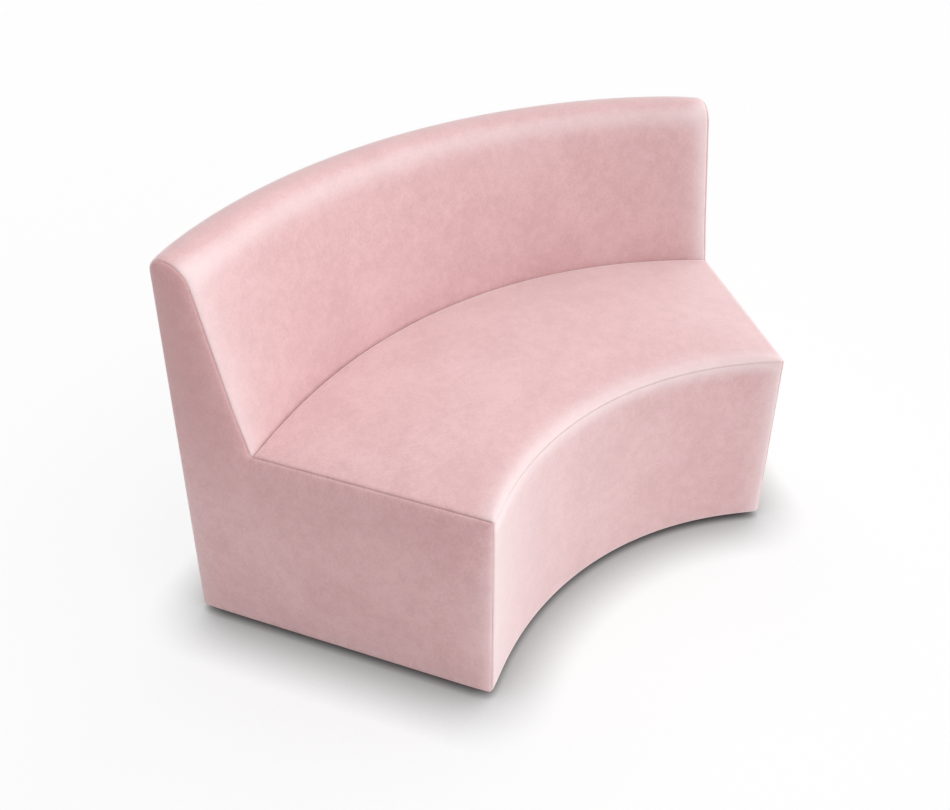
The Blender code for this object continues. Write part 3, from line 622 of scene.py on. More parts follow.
def end_panel(name, side):
    """The velvet of an end: its seam lies half-way round the edge, and its lower edge turns under the base."""
    s, c = shape(), cut()
    outline, under, fall = end_outline(s)
    drawn_in = draw_in(outline)
    count = len(outline)
    rolled = np.ones(count)
    rolled[under:] = 0.0
    bm = bmesh.new()
    bm.faces.layers.int.new("cut")
    uv = bm.loops.layers.uv.new("cloth")
    bend = bm.verts.layers.float.new("bend")
    ring, place = numbered_ring(bm, count)

    def put(verts, edge, way):
        for vert in verts:
            k = vert[place]
            depth, drawn = rounded_edge(s, edge, way, rolled[k])
            along, height = drawn_in(k, drawn + fall[k] * rolled[k])
            rise = pillow_rise(edge) - c.end_shoulder * fade(edge) if way > 0 else -c.end_shoulder
            vert.co = (*end_place(s, side, along, depth - rise - c.proud), height)
            vert[bend] = end_painted_light(edge, height) * rolled[k]

    put(ring, SEAM_STEPS[0], 1)
    pinned = set(ring)
    first_edges = list(bm.edges)
    edges = first_edges
    for edge in SEAM_STEPS[1:]:
        verts, edges = grow_edges(bm, edges)
        put(verts, edge, 1)
        pinned |= verts
    face = bmesh.ops.edgeloop_fill(bm, edges=edges)["faces"]
    low, far = outline.min(axis=0), outline.max(axis=0)
    way = (side * math.sin(s.end_angle), math.cos(s.end_angle), 0.0)
    start = (*end_place(s, side, low[0], 0.0), low[1])
    cut_grid(bm, face, [(start, way, far[0] - low[0]), (start, (0.0, 0.0, 1.0), far[1] - low[1])], END_STEP)
    inside = [vert for vert in bm.verts if vert not in pinned]
    foot = Vector(end_place(s, side, 0.0, 0.0))
    flat = np.array([((vert.co.xy - foot).dot(Vector(way).xy), vert.co.z) for vert in inside])
    distance, nearest = outline_distance(outline, flat)
    distance = distance - s.edge_round * (1.0 - math.pi / 4) - (fall * rolled)[nearest]
    for vert, (along, height), edge in zip(inside, flat, distance):
        depth = c.end_shoulder * fade(edge) - pillow_rise(edge) - c.proud
        vert.co = (*end_place(s, side, along, depth), height)
        vert[bend] = end_painted_light(edge, height)
        if edge < END_PINNED:
            pinned.add(vert)
    hem = [edge for edge in first_edges if min(vert[place] for vert in edge.verts) >= under]
    for edge in (*HEM_STEPS, c.turn_under):
        verts, hem = grow_edges(bm, hem)
        put(verts, edge, -1)
        pinned |= verts
    bmesh.ops.triangulate(bm, faces=[face for face in bm.faces if len(face.verts) > 4])
    bm.normal_update()
    out = Vector((side * math.cos(s.end_angle), -math.sin(s.end_angle), 0.0))
    if max(bm.faces, key=lambda face: face.calc_area()).normal.dot(out) < 0.0:
        bmesh.ops.reverse_faces(bm, faces=bm.faces)
    for face in bm.faces:
        for loop in face.loops:
            loop[uv].uv = (loop.vert.co.xy.dot(Vector(way).xy), loop.vert.co.z)
    bm.verts.index_update()
    material = shared("velvet_pile_ends", velvet, look().end_sheen)
    return finish_panel(name, bm, [vert.index for vert in pinned], material)


CLOTH_FRAMES = 20
CLOTH = {"quality": 6, "mass": 0.3, "tension_stiffness": 20.0, "compression_stiffness": 20.0,
         "shear_stiffness": 8.0, "bending_stiffness": 3.0, "vertex_group_mass": "sewn", "use_pressure": True}
EVEN_ROUNDS = 60


def finish_panel(name, bm, pinned, material):
    """Turn a wrapped panel into an object, swell it and give it its thickness."""
    obj = add_piece(name, bm, material)
    obj.data.shade_smooth()
    swell(obj, pinned)
    thicken(obj, cut().thickness)
    fine = obj.modifiers.new("fine", "SUBSURF")
    fine.levels = 1
    fine.render_levels = 1
    return obj


def swell(obj, pinned):
    """Let the filling push the cloth out between its seams, and keep the result."""
    c = cut()
    scene = bpy.context.scene
    sewn = obj.vertex_groups.new(name="sewn")
    sewn.add(pinned, 1.0, "REPLACE")
    cloth = obj.modifiers.new("cloth", "CLOTH")
    for key, value in CLOTH.items():
        setattr(cloth.settings, key, value)
    cloth.settings.uniform_pressure_force = c.pressure
    cloth.settings.effector_weights.gravity = 0.0
    cloth.collision_settings.use_collision = False
    cloth.point_cache.frame_start = 1
    cloth.point_cache.frame_end = CLOTH_FRAMES
    for step in range(1, CLOTH_FRAMES + 1):
        scene.frame_set(step)
    swelled = obj.evaluated_get(bpy.context.evaluated_depsgraph_get()).data
    count = len(obj.data.vertices)
    rest, moved, facing = np.zeros(count * 3), np.zeros(count * 3), np.zeros(count * 3)
    obj.data.vertices.foreach_get("co", rest)
    obj.data.vertices.foreach_get("normal", facing)
    swelled.vertices.foreach_get("co", moved)
    push = ((moved - rest).reshape(-1, 3) * facing.reshape(-1, 3)).sum(axis=1)
    push = c.swell * np.tanh(np.maximum(push, 0.0) / c.swell)
    push = even_out(obj.data, push, pinned)
    obj.modifiers.remove(cloth)
    obj.vertex_groups.clear()
    scene.frame_set(1)
    obj.data.vertices.foreach_set("co", rest + (facing.reshape(-1, 3) * push[:, None]).ravel())
    obj.data.update()


def even_out(mesh, push, pinned):
    """Spread a push over the cloth, so that no ripples stay in it."""
    ends = np.zeros(len(mesh.edges) * 2, dtype=int)
    mesh.edges.foreach_get("vertices", ends)
    first, second = ends.reshape(-1, 2).T
    count = len(push)
    degree = np.bincount(ends, minlength=count)
    for _ in range(EVEN_ROUNDS):
        around = np.bincount(first, push[second], count) + np.bincount(second, push[first], count)
        push = (push + around / degree) / 2.0
        push[pinned] = 0.0
    return push


def dress(obj, slot, *nodes, body="root", fill=None):
    """Ride the piece on a body in place of its CAD nodes."""
    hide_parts(*nodes)
    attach(obj, body)


def add_piece(name, bm, material):
    """An object at the origin from a bmesh, which it frees."""
    mesh = bpy.data.meshes.new(name)
    bm.to_mesh(mesh)
    bm.free()
    mesh.materials.append(material)
    obj = bpy.data.objects.new(name, mesh)
    bpy.context.scene.collection.objects.link(obj)
    return obj


def thicken(obj, thickness):
    """Give a sheet its thickness, inwards."""
    wall = obj.modifiers.new("thickness", "SOLIDIFY")
    wall.thickness = thickness
    wall.offset = -1.0


def cover(obj, node):
    """Ride a panel of velvet on the frame in place of its cover."""
    dress(obj, "velvet", node, fill=VELVET_FILL)


def node_copy(node):
    """A merged copy of a CAD node's mesh."""
    bm = bmesh.new()
    bm.from_mesh(frame["nodes"][node].data)
    bmesh.ops.remove_doubles(bm, verts=bm.verts, dist=MERGE_DISTANCE)
    return bm


def bevel(bm, edges, offset, segments):
    bmesh.ops.bevel(bm, geom=edges, offset=offset, offset_type="OFFSET", segments=segments, profile=0.5,
                    affect="EDGES", material=-1, clamp_overlap=True)


def soften(bm, offset, segments, sharp):
    """Round the edges of a mesh that are sharper than an angle."""
    bmesh.ops.join_triangles(bm, faces=bm.faces, angle_face_threshold=math.radians(2.0),
                             angle_shape_threshold=math.pi)
    edges = [edge for edge in bm.edges if len(edge.link_faces) == 2 and edge.calc_face_angle() > sharp]
    bevel(bm, edges, offset, segments)


def turned(profile, place, steps=48):
    """A turned piece: a profile of (radius, height) points spun about an upright axis."""
    bm = bmesh.new()
    verts = [bm.verts.new((place[0] + radius, place[1], height)) for radius, height in profile]
    edges = [bm.edges.new(pair) for pair in zip(verts, verts[1:])]
    bmesh.ops.spin(bm, geom=verts + edges, cent=(place[0], place[1], 0.0), axis=(0.0, 0.0, 1.0),
                   angle=2.0 * math.pi, steps=steps, use_merge=True, use_duplicate=False)
    bmesh.ops.remove_doubles(bm, verts=bm.verts, dist=1e-6)
    bmesh.ops.recalc_face_normals(bm, faces=bm.faces)
    return bm


def smooth_by_angle(obj):
    """Shade a piece smooth, except over its sharp edges."""
    obj.data.shade_smooth()
    obj.data.set_sharp_from_angle(angle=SHARP_ANGLE)


# Materials

def new_material(name):
    material = bpy.data.materials.new(name)
    material.use_nodes = True
    tree = material.node_tree
    return material, tree, tree.nodes["Principled BSDF"]


def shared(name, make, *settings):
    """A material that is made once."""
    return bpy.data.materials.get(name) or make(name, *settings)


def set_inputs(tree, node, values):
    """Set inputs of a node, or link them where the value is a socket."""
    for key, value in values.items():
        if isinstance(value, bpy.types.NodeSocket):
            tree.links.new(value, node.inputs[key])
        else:
            node.inputs[key].default_value = value


def add_node(tree, kind, values=None, **settings):
    """A node with its settings and inputs."""
    made = tree.nodes.new(kind)
    for key, value in settings.items():
        setattr(made, key, value)
    set_inputs(tree, made, values or {})
    return made


def object_place(tree):
    return add_node(tree, "ShaderNodeTexCoord").outputs["Object"]


def cloth_place(tree):
    """Place on a piece of cloth laid flat, in metres."""
    return add_node(tree, "ShaderNodeUVMap", uv_map="cloth").outputs["UV"]


def scaled(tree, vector, scale):
    return add_node(tree, "ShaderNodeMapping", {"Vector": vector, "Scale": scale}).outputs["Vector"]


def wave_of(tree, vector, scale, values=None, **settings):
    values = {"Vector": vector, "Scale": scale, **(values or {})}
    return add_node(tree, "ShaderNodeTexWave", values, **settings).outputs["Fac"]


def cells_of(tree, vector, scale):
    return add_node(tree, "ShaderNodeTexVoronoi", {"Vector": vector, "Scale": scale}).outputs["Distance"]


def range_of(tree, value, low, high, start=0.0, stop=1.0):
    """A value from start to stop, mapped to low to high."""
    values = {"Value": value, "From Min": start, "From Max": stop, "To Min": low, "To Max": high}
    return add_node(tree, "ShaderNodeMapRange", values).outputs["Result"]


def noise_of(tree, vector, scale, detail=3.0, roughness=0.5, distortion=0.0):
    values = {"Vector": vector, "Scale": scale, "Detail": detail, "Roughness": roughness,
              "Distortion": distortion}
    return add_node(tree, "ShaderNodeTexNoise", values).outputs["Fac"]


def math_of(tree, operation, first, second, third=0.0):
    values = {0: first, 1: second, 2: third}
    return add_node(tree, "ShaderNodeMath", values, operation=operation).outputs[0]


def ramp_of(tree, factor, stops):
    """A colour ramp through (place, colour) stops."""
    ramp = add_node(tree, "ShaderNodeValToRGB", {"Fac": factor})
    elements = ramp.color_ramp.elements
    while len(elements) < len(stops):
        elements.new(0.5)
    for element, (place, value) in zip(elements, stops):
        element.position = place
        element.color = (*value, 1.0)
    return ramp.outputs["Color"]


def bump_of(tree, height, strength, distance, normal=None):
    values = {"Height": height, "Strength": strength, "Distance": distance}
    if normal is not None:
        values["Normal"] = normal
    return add_node(tree, "ShaderNodeBump", values).outputs["Normal"]


def mix_of(tree, share_second, first, second):
    values = {0: share_second, 6: first, 7: (*second, 1.0)}
    return add_node(tree, "ShaderNodeMix", values, data_type="RGBA").outputs[2]


def velvet(name, sheen):
    """Blush velvet: clouded nap, brushed streaks and a fine pile, with painted highlights and painted shade mixed
    into its colour.
    """
    v = look()
    material, tree, shader = new_material(name)
    place = object_place(tree)
    cloud = noise_of(tree, place, 8.0, 2.0, 0.5, 0.5)
    mottle = noise_of(tree, place, 42.0, 5.0, 0.62)
    grain = noise_of(tree, place, 190.0, 3.0, 0.6)
    streak = noise_of(tree, scaled(tree, cloth_place(tree), (420.0, 110.0, 1.0)), 1.0, 2.0, 0.6)
    pile = noise_of(tree, place, 1500.0, 1.0, 0.5)
    tone = 0.0
    for layer, weight in ((cloud, 0.20), (mottle, 0.28), (grain, 0.24), (streak, 0.20), (pile, 0.08)):
        tone = math_of(tree, "MULTIPLY_ADD", layer, weight, tone)
    shade = ramp_of(tree, tone, [(0.425, v.dark), (0.50, v.middle), (0.575, v.light)])
    bend = add_node(tree, "ShaderNodeAttribute", attribute_name="bend").outputs["Fac"]
    # Painted shade where a point's value is negative, then painted highlight where it is positive
    shade = mix_of(tree, math_of(tree, "MULTIPLY", bend, -v.painted_light_share), shade, v.painted_shade)
    shade = mix_of(tree, math_of(tree, "MULTIPLY", bend, v.painted_light_share), shade, v.painted_highlight)
    nap = bump_of(tree, mottle, 0.10, 0.002)
    nap = bump_of(tree, streak, 0.12, 0.0006, nap)
    nap = bump_of(tree, pile, 0.25, 0.0003, nap)
    set_inputs(tree, shader, {
        "Base Color": shade, "Roughness": range_of(tree, mottle, 0.48, 0.62, 0.3, 0.7), "Normal": nap,
        "Specular IOR Level": 0.5, "Sheen Weight": sheen, "Sheen Roughness": v.sheen_roughness,
        "Sheen Tint": (*v.sheen_tint, 1.0)})
    return material


def foam_material(name):
    """Cream foam with fine open cells."""
    material, tree, shader = new_material(name)
    place = object_place(tree)
    cells = cells_of(tree, place, 650.0)
    age = noise_of(tree, place, 9.0)
    tone = math_of(tree, "MULTIPLY_ADD", cells, 0.35, math_of(tree, "MULTIPLY", age, 0.7))
    stops = [(0.2, (0.74, 0.64, 0.40)), (0.7, (0.87, 0.80, 0.60))]
    set_inputs(tree, shader, {
        "Base Color": ramp_of(tree, tone, stops), "Normal": bump_of(tree, cells, 0.5, 0.0006),
        "Roughness": 0.95, "Specular IOR Level": 0.2})
    return material


def wadding_material(name):
    """White fibre wadding."""
    material, tree, shader = new_material(name)
    fibre = noise_of(tree, object_place(tree), 220.0, 6.0, 0.7, 2.0)
    stops = [(0.3, (0.78, 0.78, 0.75)), (0.7, (0.93, 0.93, 0.91))]
    set_inputs(tree, shader, {
        "Base Color": ramp_of(tree, fibre, stops), "Normal": bump_of(tree, fibre, 0.6, 0.0012),
        "Roughness": 1.0, "Sheen Weight": 0.2})
    return material


def webbing_material(name):
    """Black elastic webbing, ribbed across its length, with two paler lines."""
    material, tree, shader = new_material(name)
    cloth = cloth_place(tree)
    ribs = wave_of(tree, cloth, 160.0, bands_direction="Y")
    cords = wave_of(tree, cloth, 12.7, bands_direction="X")
    weave = math_of(tree, "MULTIPLY_ADD", cords, 0.4, math_of(tree, "MULTIPLY", ribs, 0.6))
    stops = [(0.0, (0.012, 0.012, 0.013)), (0.85, (0.05, 0.05, 0.055)), (1.0, (0.10, 0.09, 0.085))]
    set_inputs(tree, shader, {
        "Base Color": ramp_of(tree, weave, stops), "Normal": bump_of(tree, weave, 0.5, 0.0005),
        "Roughness": 0.75})
    return material


def dust_material(name):
    """Black bonded cloth with fine dimples."""
    material, tree, shader = new_material(name)
    place = object_place(tree)
    fibre = noise_of(tree, place, 160.0, 5.0, 0.7, 1.0)
    dimple = cells_of(tree, place, 420.0)
    tone = math_of(tree, "MULTIPLY_ADD", dimple, 0.4, math_of(tree, "MULTIPLY", fibre, 0.6))
    stops = [(0.2, (0.012, 0.012, 0.013)), (0.75, (0.045, 0.045, 0.048))]
    set_inputs(tree, shader, {
        "Base Color": ramp_of(tree, tone, stops), "Normal": bump_of(tree, tone, 0.5, 0.0004),
        "Roughness": 0.85})
    return material


def ply_material(name):
    """Birch plywood: faint figure on the faces, and layers on the edges of the flat rails."""
    material, tree, shader = new_material(name)
    place = object_place(tree)
    figure = noise_of(tree, scaled(tree, place, (6.0, 70.0, 70.0)), 1.0, 5.0, 0.6, 0.8)
    layers = wave_of(tree, place, 105.0, bands_direction="Z")
    normal = add_node(tree, "ShaderNodeNewGeometry").outputs["Normal"]
    facing = add_node(tree, "ShaderNodeSeparateXYZ", {"Vector": normal}).outputs["Z"]
    edge = math_of(tree, "LESS_THAN", math_of(tree, "ABSOLUTE", facing, 0.0), 0.5)
    band = math_of(tree, "MULTIPLY", math_of(tree, "MULTIPLY", layers, edge), -0.35)
    stops = [(0.1, (0.38, 0.24, 0.12)), (0.45, (0.62, 0.45, 0.27)), (0.75, (0.74, 0.57, 0.37))]
    set_inputs(tree, shader, {
        "Base Color": ramp_of(tree, math_of(tree, "ADD", figure, band), stops),
        "Normal": bump_of(tree, figure, 0.15, 0.0006), "Roughness": 0.65})
    return material


def pine_material(name):
    """Bare pine with its growth rings."""
    material, tree, shader = new_material(name)
    upright = scaled(tree, object_place(tree), (1.0, 1.0, 0.08))
    rings = wave_of(tree, upright, 45.0, {"Distortion": 3.0, "Detail": 3.0}, wave_type="RINGS")
    stops = [(0.1, (0.80, 0.64, 0.41)), (0.8, (0.66, 0.45, 0.23))]
    set_inputs(tree, shader, {
        "Base Color": ramp_of(tree, rings, stops), "Normal": bump_of(tree, rings, 0.15, 0.0005),
        "Roughness": 0.6})
    return material


def nylon_material(name):
    """Black moulded nylon with a fine spark texture."""
    material, tree, shader = new_material(name)
    place = object_place(tree)
    spark = noise_of(tree, place, 1800.0, 2.0)
    scuff = noise_of(tree, place, 120.0, 4.0, 0.7)
    stops = [(0.35, (0.018, 0.018, 0.019)), (0.75, (0.040, 0.040, 0.042))]
    set_inputs(tree, shader, {
        "Base Color": ramp_of(tree, scuff, stops), "Normal": bump_of(tree, spark, 0.2, 0.0002),
        "Roughness": range_of(tree, scuff, 0.35, 0.6)})
    return material


def steel_material(name):
    """Zinc-plated steel with a cloudy, lightly brushed surface."""
    material, tree, shader = new_material(name)
    place = object_place(tree)
    brush = noise_of(tree, scaled(tree, place, (300.0, 2400.0, 1200.0)), 1.0)
    cloud = noise_of(tree, place, 90.0)
    stops = [(0.3, (0.50, 0.50, 0.51)), (0.7, (0.68, 0.68, 0.69))]
    set_inputs(tree, shader, {
        "Base Color": ramp_of(tree, cloud, stops), "Normal": bump_of(tree, brush, 0.1, 0.0001),
        "Roughness": range_of(tree, brush, 0.28, 0.48), "Metallic": 1.0})
    return material


# Operators

SIDES = {"left": -1, "right": 1}
SHARP_ANGLE = math.radians(35.0)
VELVET_FILL = 0.9
CREVICE_POWER = 12
FOAM_FILL = 1.0
FOAM_ROUND = 0.005
FOAM_FOLD = math.radians(40.0)
WADDING_ROUND = 0.002
FOAM_SQUEEZE = 0.0018
CREVICE_REACH = 0.016
CREVICE_CLEAR = 0.0055
END_PAD_RINGS = (0.0, 0.0015, 0.0040, 0.0075, 0.0120, 0.0180, 0.0260)
END_PAD_CLEAR = 0.0030
END_PAD_DEPTH = 0.0118
END_PAD_BACK = 0.0005
WEB_GRID = (8, 40)
WEB_LANDING = 0.045
WEB_RUN_IN = 0.12
WEB_SAG = 0.0025
WEB_EDGE_ROLL = 0.0004
WEB_EDGE_POWER = 8
DUST_GRID = 0.030
DUST_WAVE = 0.00015
DUST_TURNS = (61.0, 47.0, 13.0)
DUST_THICKNESS = 0.0004
STAPLE_STEP = 0.042
STAPLE_INSET = 0.008
STAPLE_SIZE = (0.0100, 0.0009, 0.0006)
# Profiles of turned pieces: shares of the radius or radii, with heights
GLIDE_RIM = ((0.0, 0.0), (0.90, 0.0), (0.965, 0.0004), (1.0, 0.0016), (1.0, 0.0058), (0.985, 0.0068),
             (0.94, 0.0076), (0.88, 0.0080))
GLIDE_NECK = ((0.0090, 0.0080), (0.0070, 0.0084), (0.0064, 0.0094), (0.0064, 0.0139), (0.0060, 0.0143),
              (0.0038, 0.0143))
STEM_FROM = 0.0142
STEM_WITHIN = 0.0045
THREAD_PITCH = 0.00125
THREAD_CORE = 0.0034
THREAD_CREST = 0.0040
THREAD_END = 0.0015
TIP_CHAMFER = 0.0003
BOLT_RADIUS = 0.004
BOLT_SOCKET = ((0.0, 0.0019), (0.0023, 0.0019), (0.0025, 0.0003), (0.0028, 0.0))
BOLT_HEAD = ((0.62, 0.0), (0.86, 0.0004), (0.97, 0.0012), (1.0, 0.0020), (1.0, 0.0029), (0.97, 0.0032))
BORE_FIT = 0.0004
LINK_LENGTH = 0.090
LINK_HALF = 0.014
LINK_ROUND = 0.0004


def rim_of(bm):
    """Points round the outer open edge of a flat mesh that faces up, in the order of its faces."""
    edge = min((edge for edge in bm.edges if edge.is_boundary), key=lambda edge: edge.verts[0].co.x)
    loop = edge.link_loops[0]
    points = []
    while not points or loop.edge != edge:
        points.append(loop.vert.co.xy)
        loop = loop.link_loop_next
        while not loop.edge.is_boundary:
            loop = loop.link_loop_radial_next.link_loop_next
    return np.array(points)


def link_outline(steps=28):
    """Outline of a link: pivot at 0, notch at LINK_LENGTH on X, its mouth on -Y."""
    throat = BOLT_RADIUS + BORE_FIT
    turns = [math.pi * k / steps for k in range(steps + 1)]
    near = [(-LINK_HALF * math.sin(t), LINK_HALF * math.cos(t)) for t in turns]
    hook = [(LINK_LENGTH - throat * math.cos(t), throat * math.sin(t)) for t in turns]
    lip = math.asin(throat / LINK_HALF)
    turns = [lip + (math.pi - lip) * k / steps for k in range(steps + 1)]
    far = [(LINK_LENGTH + LINK_HALF * math.sin(t), -LINK_HALF * math.cos(t)) for t in turns]
    return near + [(LINK_LENGTH - throat, -LINK_HALF)] + hook + far


class SOFA_OT_front(bpy.types.Operator):
    """Wrap the velvet of the curved front"""

    bl_idname = "sofa.front"
    bl_label = "Front velvet"

    def execute(self, context):
        s, c = shape(), cut()

        def path(across):
            up = front_path(s, across, s.seam_angle)
            return [(up[0][0] + c.turn_under, s.foot)] + up

        cover(wrap_panel("front_velvet", path, (False, True), FRONT_PAINTED_LIGHT), "front_cover")
        return {"FINISHED"}


class SOFA_OT_seat(bpy.types.Operator):
    """Wrap the velvet of the seat, from the seam on its front roll into the crevice"""

    bl_idname = "sofa.seat"
    bl_label = "Seat velvet"

    def execute(self, context):
        s, c = shape(), cut()
        half = panel_half(s, s.front_radius + s.seat_depth / 2.0)

        def path(across):
            side = min(1.0, abs(across))
            open_share = 1.0 - side ** CREVICE_POWER
            gap = c.crevice_gap * open_share
            rounding = s.crevice_round * open_share + s.crevice_corner
            inset = half * (1.0 - side)
            follow = rounded_edge(s, inset, -1)[1] + c.seat_shoulder * float(fade(inset))
            top = seat_path(s, across, s.seam_angle, rounding + gap - follow)
            edge = top[-1]
            turn = arc((edge[0], edge[1] - rounding), rounding, math.pi / 2, math.pi)
            low = edge[1] - s.crevice_round - c.tuck
            return top + turn[1:] + [(back_line(s, low) - c.thickness - gap + follow, low)]

        cover(wrap_panel("seat_velvet", path, (True, False), SEAT_PAINTED_LIGHT), "seat_cover")
        return {"FINISHED"}


class SOFA_OT_inner_back(bpy.types.Operator):
    """Wrap the velvet of the inside back, from the crevice over the top"""

    bl_idname = "sofa.inner_back"
    bl_label = "Inside back velvet"

    def execute(self, context):
        s, c = shape(), cut()

        def path(across):
            up = back_path(s, across)
            low = up[0][1] - c.tuck - s.crevice_round
            return [(back_line(s, low), low)] + up

        rise = s.back_height - s.top_front_roll * (1.0 - math.sin(s.back_rake)) - path(0.0)[0][1]
        roll = rise / math.cos(s.back_rake)
        # Painted highlight along the front of the top roll, and painted shade over its top
        lines = [(much, roll + place, span) for much, place, span in (ROLL_PAINTED_HIGHLIGHT, ROLL_PAINTED_SHADE)]
        cover(wrap_panel("inner_back_velvet", path, (False, True), (lines, *BACK_END_HIGHLIGHTS)), "inner_back_cover")
        return {"FINISHED"}


class SOFA_OT_outer_back(bpy.types.Operator):
    """Wrap the velvet of the outside back down to the base"""

    bl_idname = "sofa.outer_back"
    bl_label = "Outside back velvet"

    def execute(self, context):
        s, c = shape(), cut()

        def path(across):
            down = outer_path(s, across)
            return down + [(down[-1][0] - c.turn_under, s.foot)]

        cover(wrap_panel("outer_back_velvet", path, (True, False)), "outer_back_cover")
        return {"FINISHED"}


class SOFA_OT_ends(bpy.types.Operator):
    """Wrap the velvet of the two end panels"""

    bl_idname = "sofa.ends"
    bl_label = "End velvet"

    def execute(self, context):
        for name, side in SIDES.items():
            cover(end_panel(name + "_end_velvet", side), name + "_end_cover")
        return {"FINISHED"}


class SOFA_OT_padding(bpy.types.Operator):
    """Round and finish the foam and the wadding below the velvet"""

    bl_idname = "sofa.padding"
    bl_label = "Foam and wadding"

    def execute(self, context):
        foam = shared("foam_cells", foam_material)
        for node in ("seat_foam", "back_foam", "front_foam"):
            self.pad(node, foam, "foam", FOAM_ROUND)
        for name, side in SIDES.items():
            self.end_pad(name + "_end_foam", foam, side)
        self.pad("outer_back_wadding", shared("wadding_fibre", wadding_material), "wadding", WADDING_ROUND)
        return {"FINISHED"}

    def end_pad(self, node, material, side):
        """A pad with a rounded edge, inside the velvet of an end."""
        s, c = shape(), cut()
        outline, _, fall = end_outline(s)
        drawn_in = draw_in(outline)
        bm = bmesh.new()
        verts, place = numbered_ring(bm, len(outline))
        edges = bm.edges[:]
        bmesh.ops.edgeloop_fill(bm, edges=edges)
        for step, edge in enumerate(END_PAD_RINGS):
            if step:
                verts, edges = grow_edges(bm, edges)
            depth, drawn = rounded_edge(s, edge, 1, 0.0)
            depth = min(END_PAD_DEPTH, depth + c.end_shoulder * fade(edge) - c.proud + END_PAD_CLEAR)
            for vert in verts:
                k = vert[place]
                along, height = drawn_in(k, drawn + fall[k] + END_PAD_CLEAR)
                vert.co = (*end_place(s, side, along, depth if step else END_PAD_DEPTH + END_PAD_BACK), height)
        bmesh.ops.edgeloop_fill(bm, edges=edges)
        bmesh.ops.recalc_face_normals(bm, faces=bm.faces)
        obj = add_piece(node + "_pad", bm, material)
        smooth_by_angle(obj)
        dress(obj, "foam", node, fill=FOAM_FILL)

    def pad(self, node, material, slot, rounding):
        bm = node_copy(node)
        soften(bm, rounding, 3, FOAM_FOLD)
        bm.normal_update()
        s = shape()
        for vert in bm.verts:
            side = math.copysign(1.0, vert.co.x)
            out = Vector((side * math.cos(s.end_angle), -math.sin(s.end_angle), 0.0))
            depth = (Vector((*end_place(s, side, 0.0, 0.0), 0.0)) - vert.co).dot(out)
            radius = math.hypot(vert.co.x, vert.co.y - s.arc_centre)
            fall = float(long_shoulder(s, radius, vert.co.z) * fade(max(0.0, depth - s.edge_round)))
            flat = vert.normal - out * vert.normal.dot(out)
            if node == "seat_foam" and radius > back_line(s, vert.co.z) - CREVICE_REACH:
                fall += CREVICE_CLEAR
            vert.co -= vert.normal * FOAM_SQUEEZE + flat.normalized() * fall
        obj = add_piece(node + "_pad", bm, material)
        obj.data.set_sharp_from_angle(angle=SHARP_ANGLE)
        dress(obj, slot, node, fill=FOAM_FILL)


class SOFA_OT_webbing(bpy.types.Operator):
    """Weave the elastic straps below the seat foam"""

    bl_idname = "sofa.webbing"
    bl_label = "Seat webbing"

    def execute(self, context):
        s = shape()
        material = shared("webbing_weave", webbing_material)
        for node in sorted(name for name in frame["nodes"] if name.startswith("seat_web_")):
            low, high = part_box(node)
            middle = (low + high) / 2.0
            fan = math.atan2(middle.x, middle.y - s.arc_centre + s.end_setback)
            turn = Matrix.Translation((0.0, s.arc_centre - s.end_setback, 0.0)) @ Matrix.Rotation(-fan, 4, "Z")
            ends = [(turn.inverted() @ vert.co) for vert in frame["nodes"][node].data.vertices]
            near, far = min(p.y for p in ends), max(p.y for p in ends)
            half = max(abs(p.x) for p in ends)
            bm = bmesh.new()
            bmesh.ops.create_grid(bm, x_segments=WEB_GRID[0], y_segments=WEB_GRID[1], size=1.0)
            uv = bm.loops.layers.uv.new("cloth")
            thick = high.z - low.z
            for vert in bm.verts:
                run = (vert.co.y + 1.0) / 2.0
                for loop in vert.link_loops:
                    loop[uv].uv = (vert.co.x * half, run * (far - near))
                landed = (min(run, 1.0 - run) * (far - near) - WEB_LANDING) / WEB_RUN_IN
                landed = min(1.0, max(0.0, landed))
                sag = WEB_SAG * math.sin(landed * math.pi / 2.0) ** 2
                edge_roll = WEB_EDGE_ROLL * vert.co.x ** WEB_EDGE_POWER
                vert.co = turn @ Vector((vert.co.x * half, near + (far - near) * run, high.z - sag - edge_roll))
            obj = add_piece(node + "_strap", bm, material)
            thicken(obj, thick - WEB_EDGE_ROLL)
            soft = obj.modifiers.new("soft", "BEVEL")
            soft.width = thick / 3.0
            soft.segments = 2
            soft.limit_method = "ANGLE"
            dress(obj, "webbing", node)
        return {"FINISHED"}


class SOFA_OT_timber(bpy.types.Operator):
    """Finish the bare timber and the pronged nuts of the frame"""

    bl_idname = "sofa.timber"
    bl_label = "Timber and nuts"

    def execute(self, context):
        ply = shared("birch_ply", ply_material)
        pine = shared("bare_pine", pine_material)
        steel = shared("zinc_steel", steel_material)
        for node, obj in frame["nodes"].items():
            if node.endswith("_block"):
                obj.material_slots[0].material = pine
            elif node.endswith(("_rib", "_frame", "_panel", "_rail")):
                obj.material_slots[0].material = ply
            elif node.startswith("glide_nut_"):
                obj.material_slots[0].material = steel
        return {"FINISHED"}


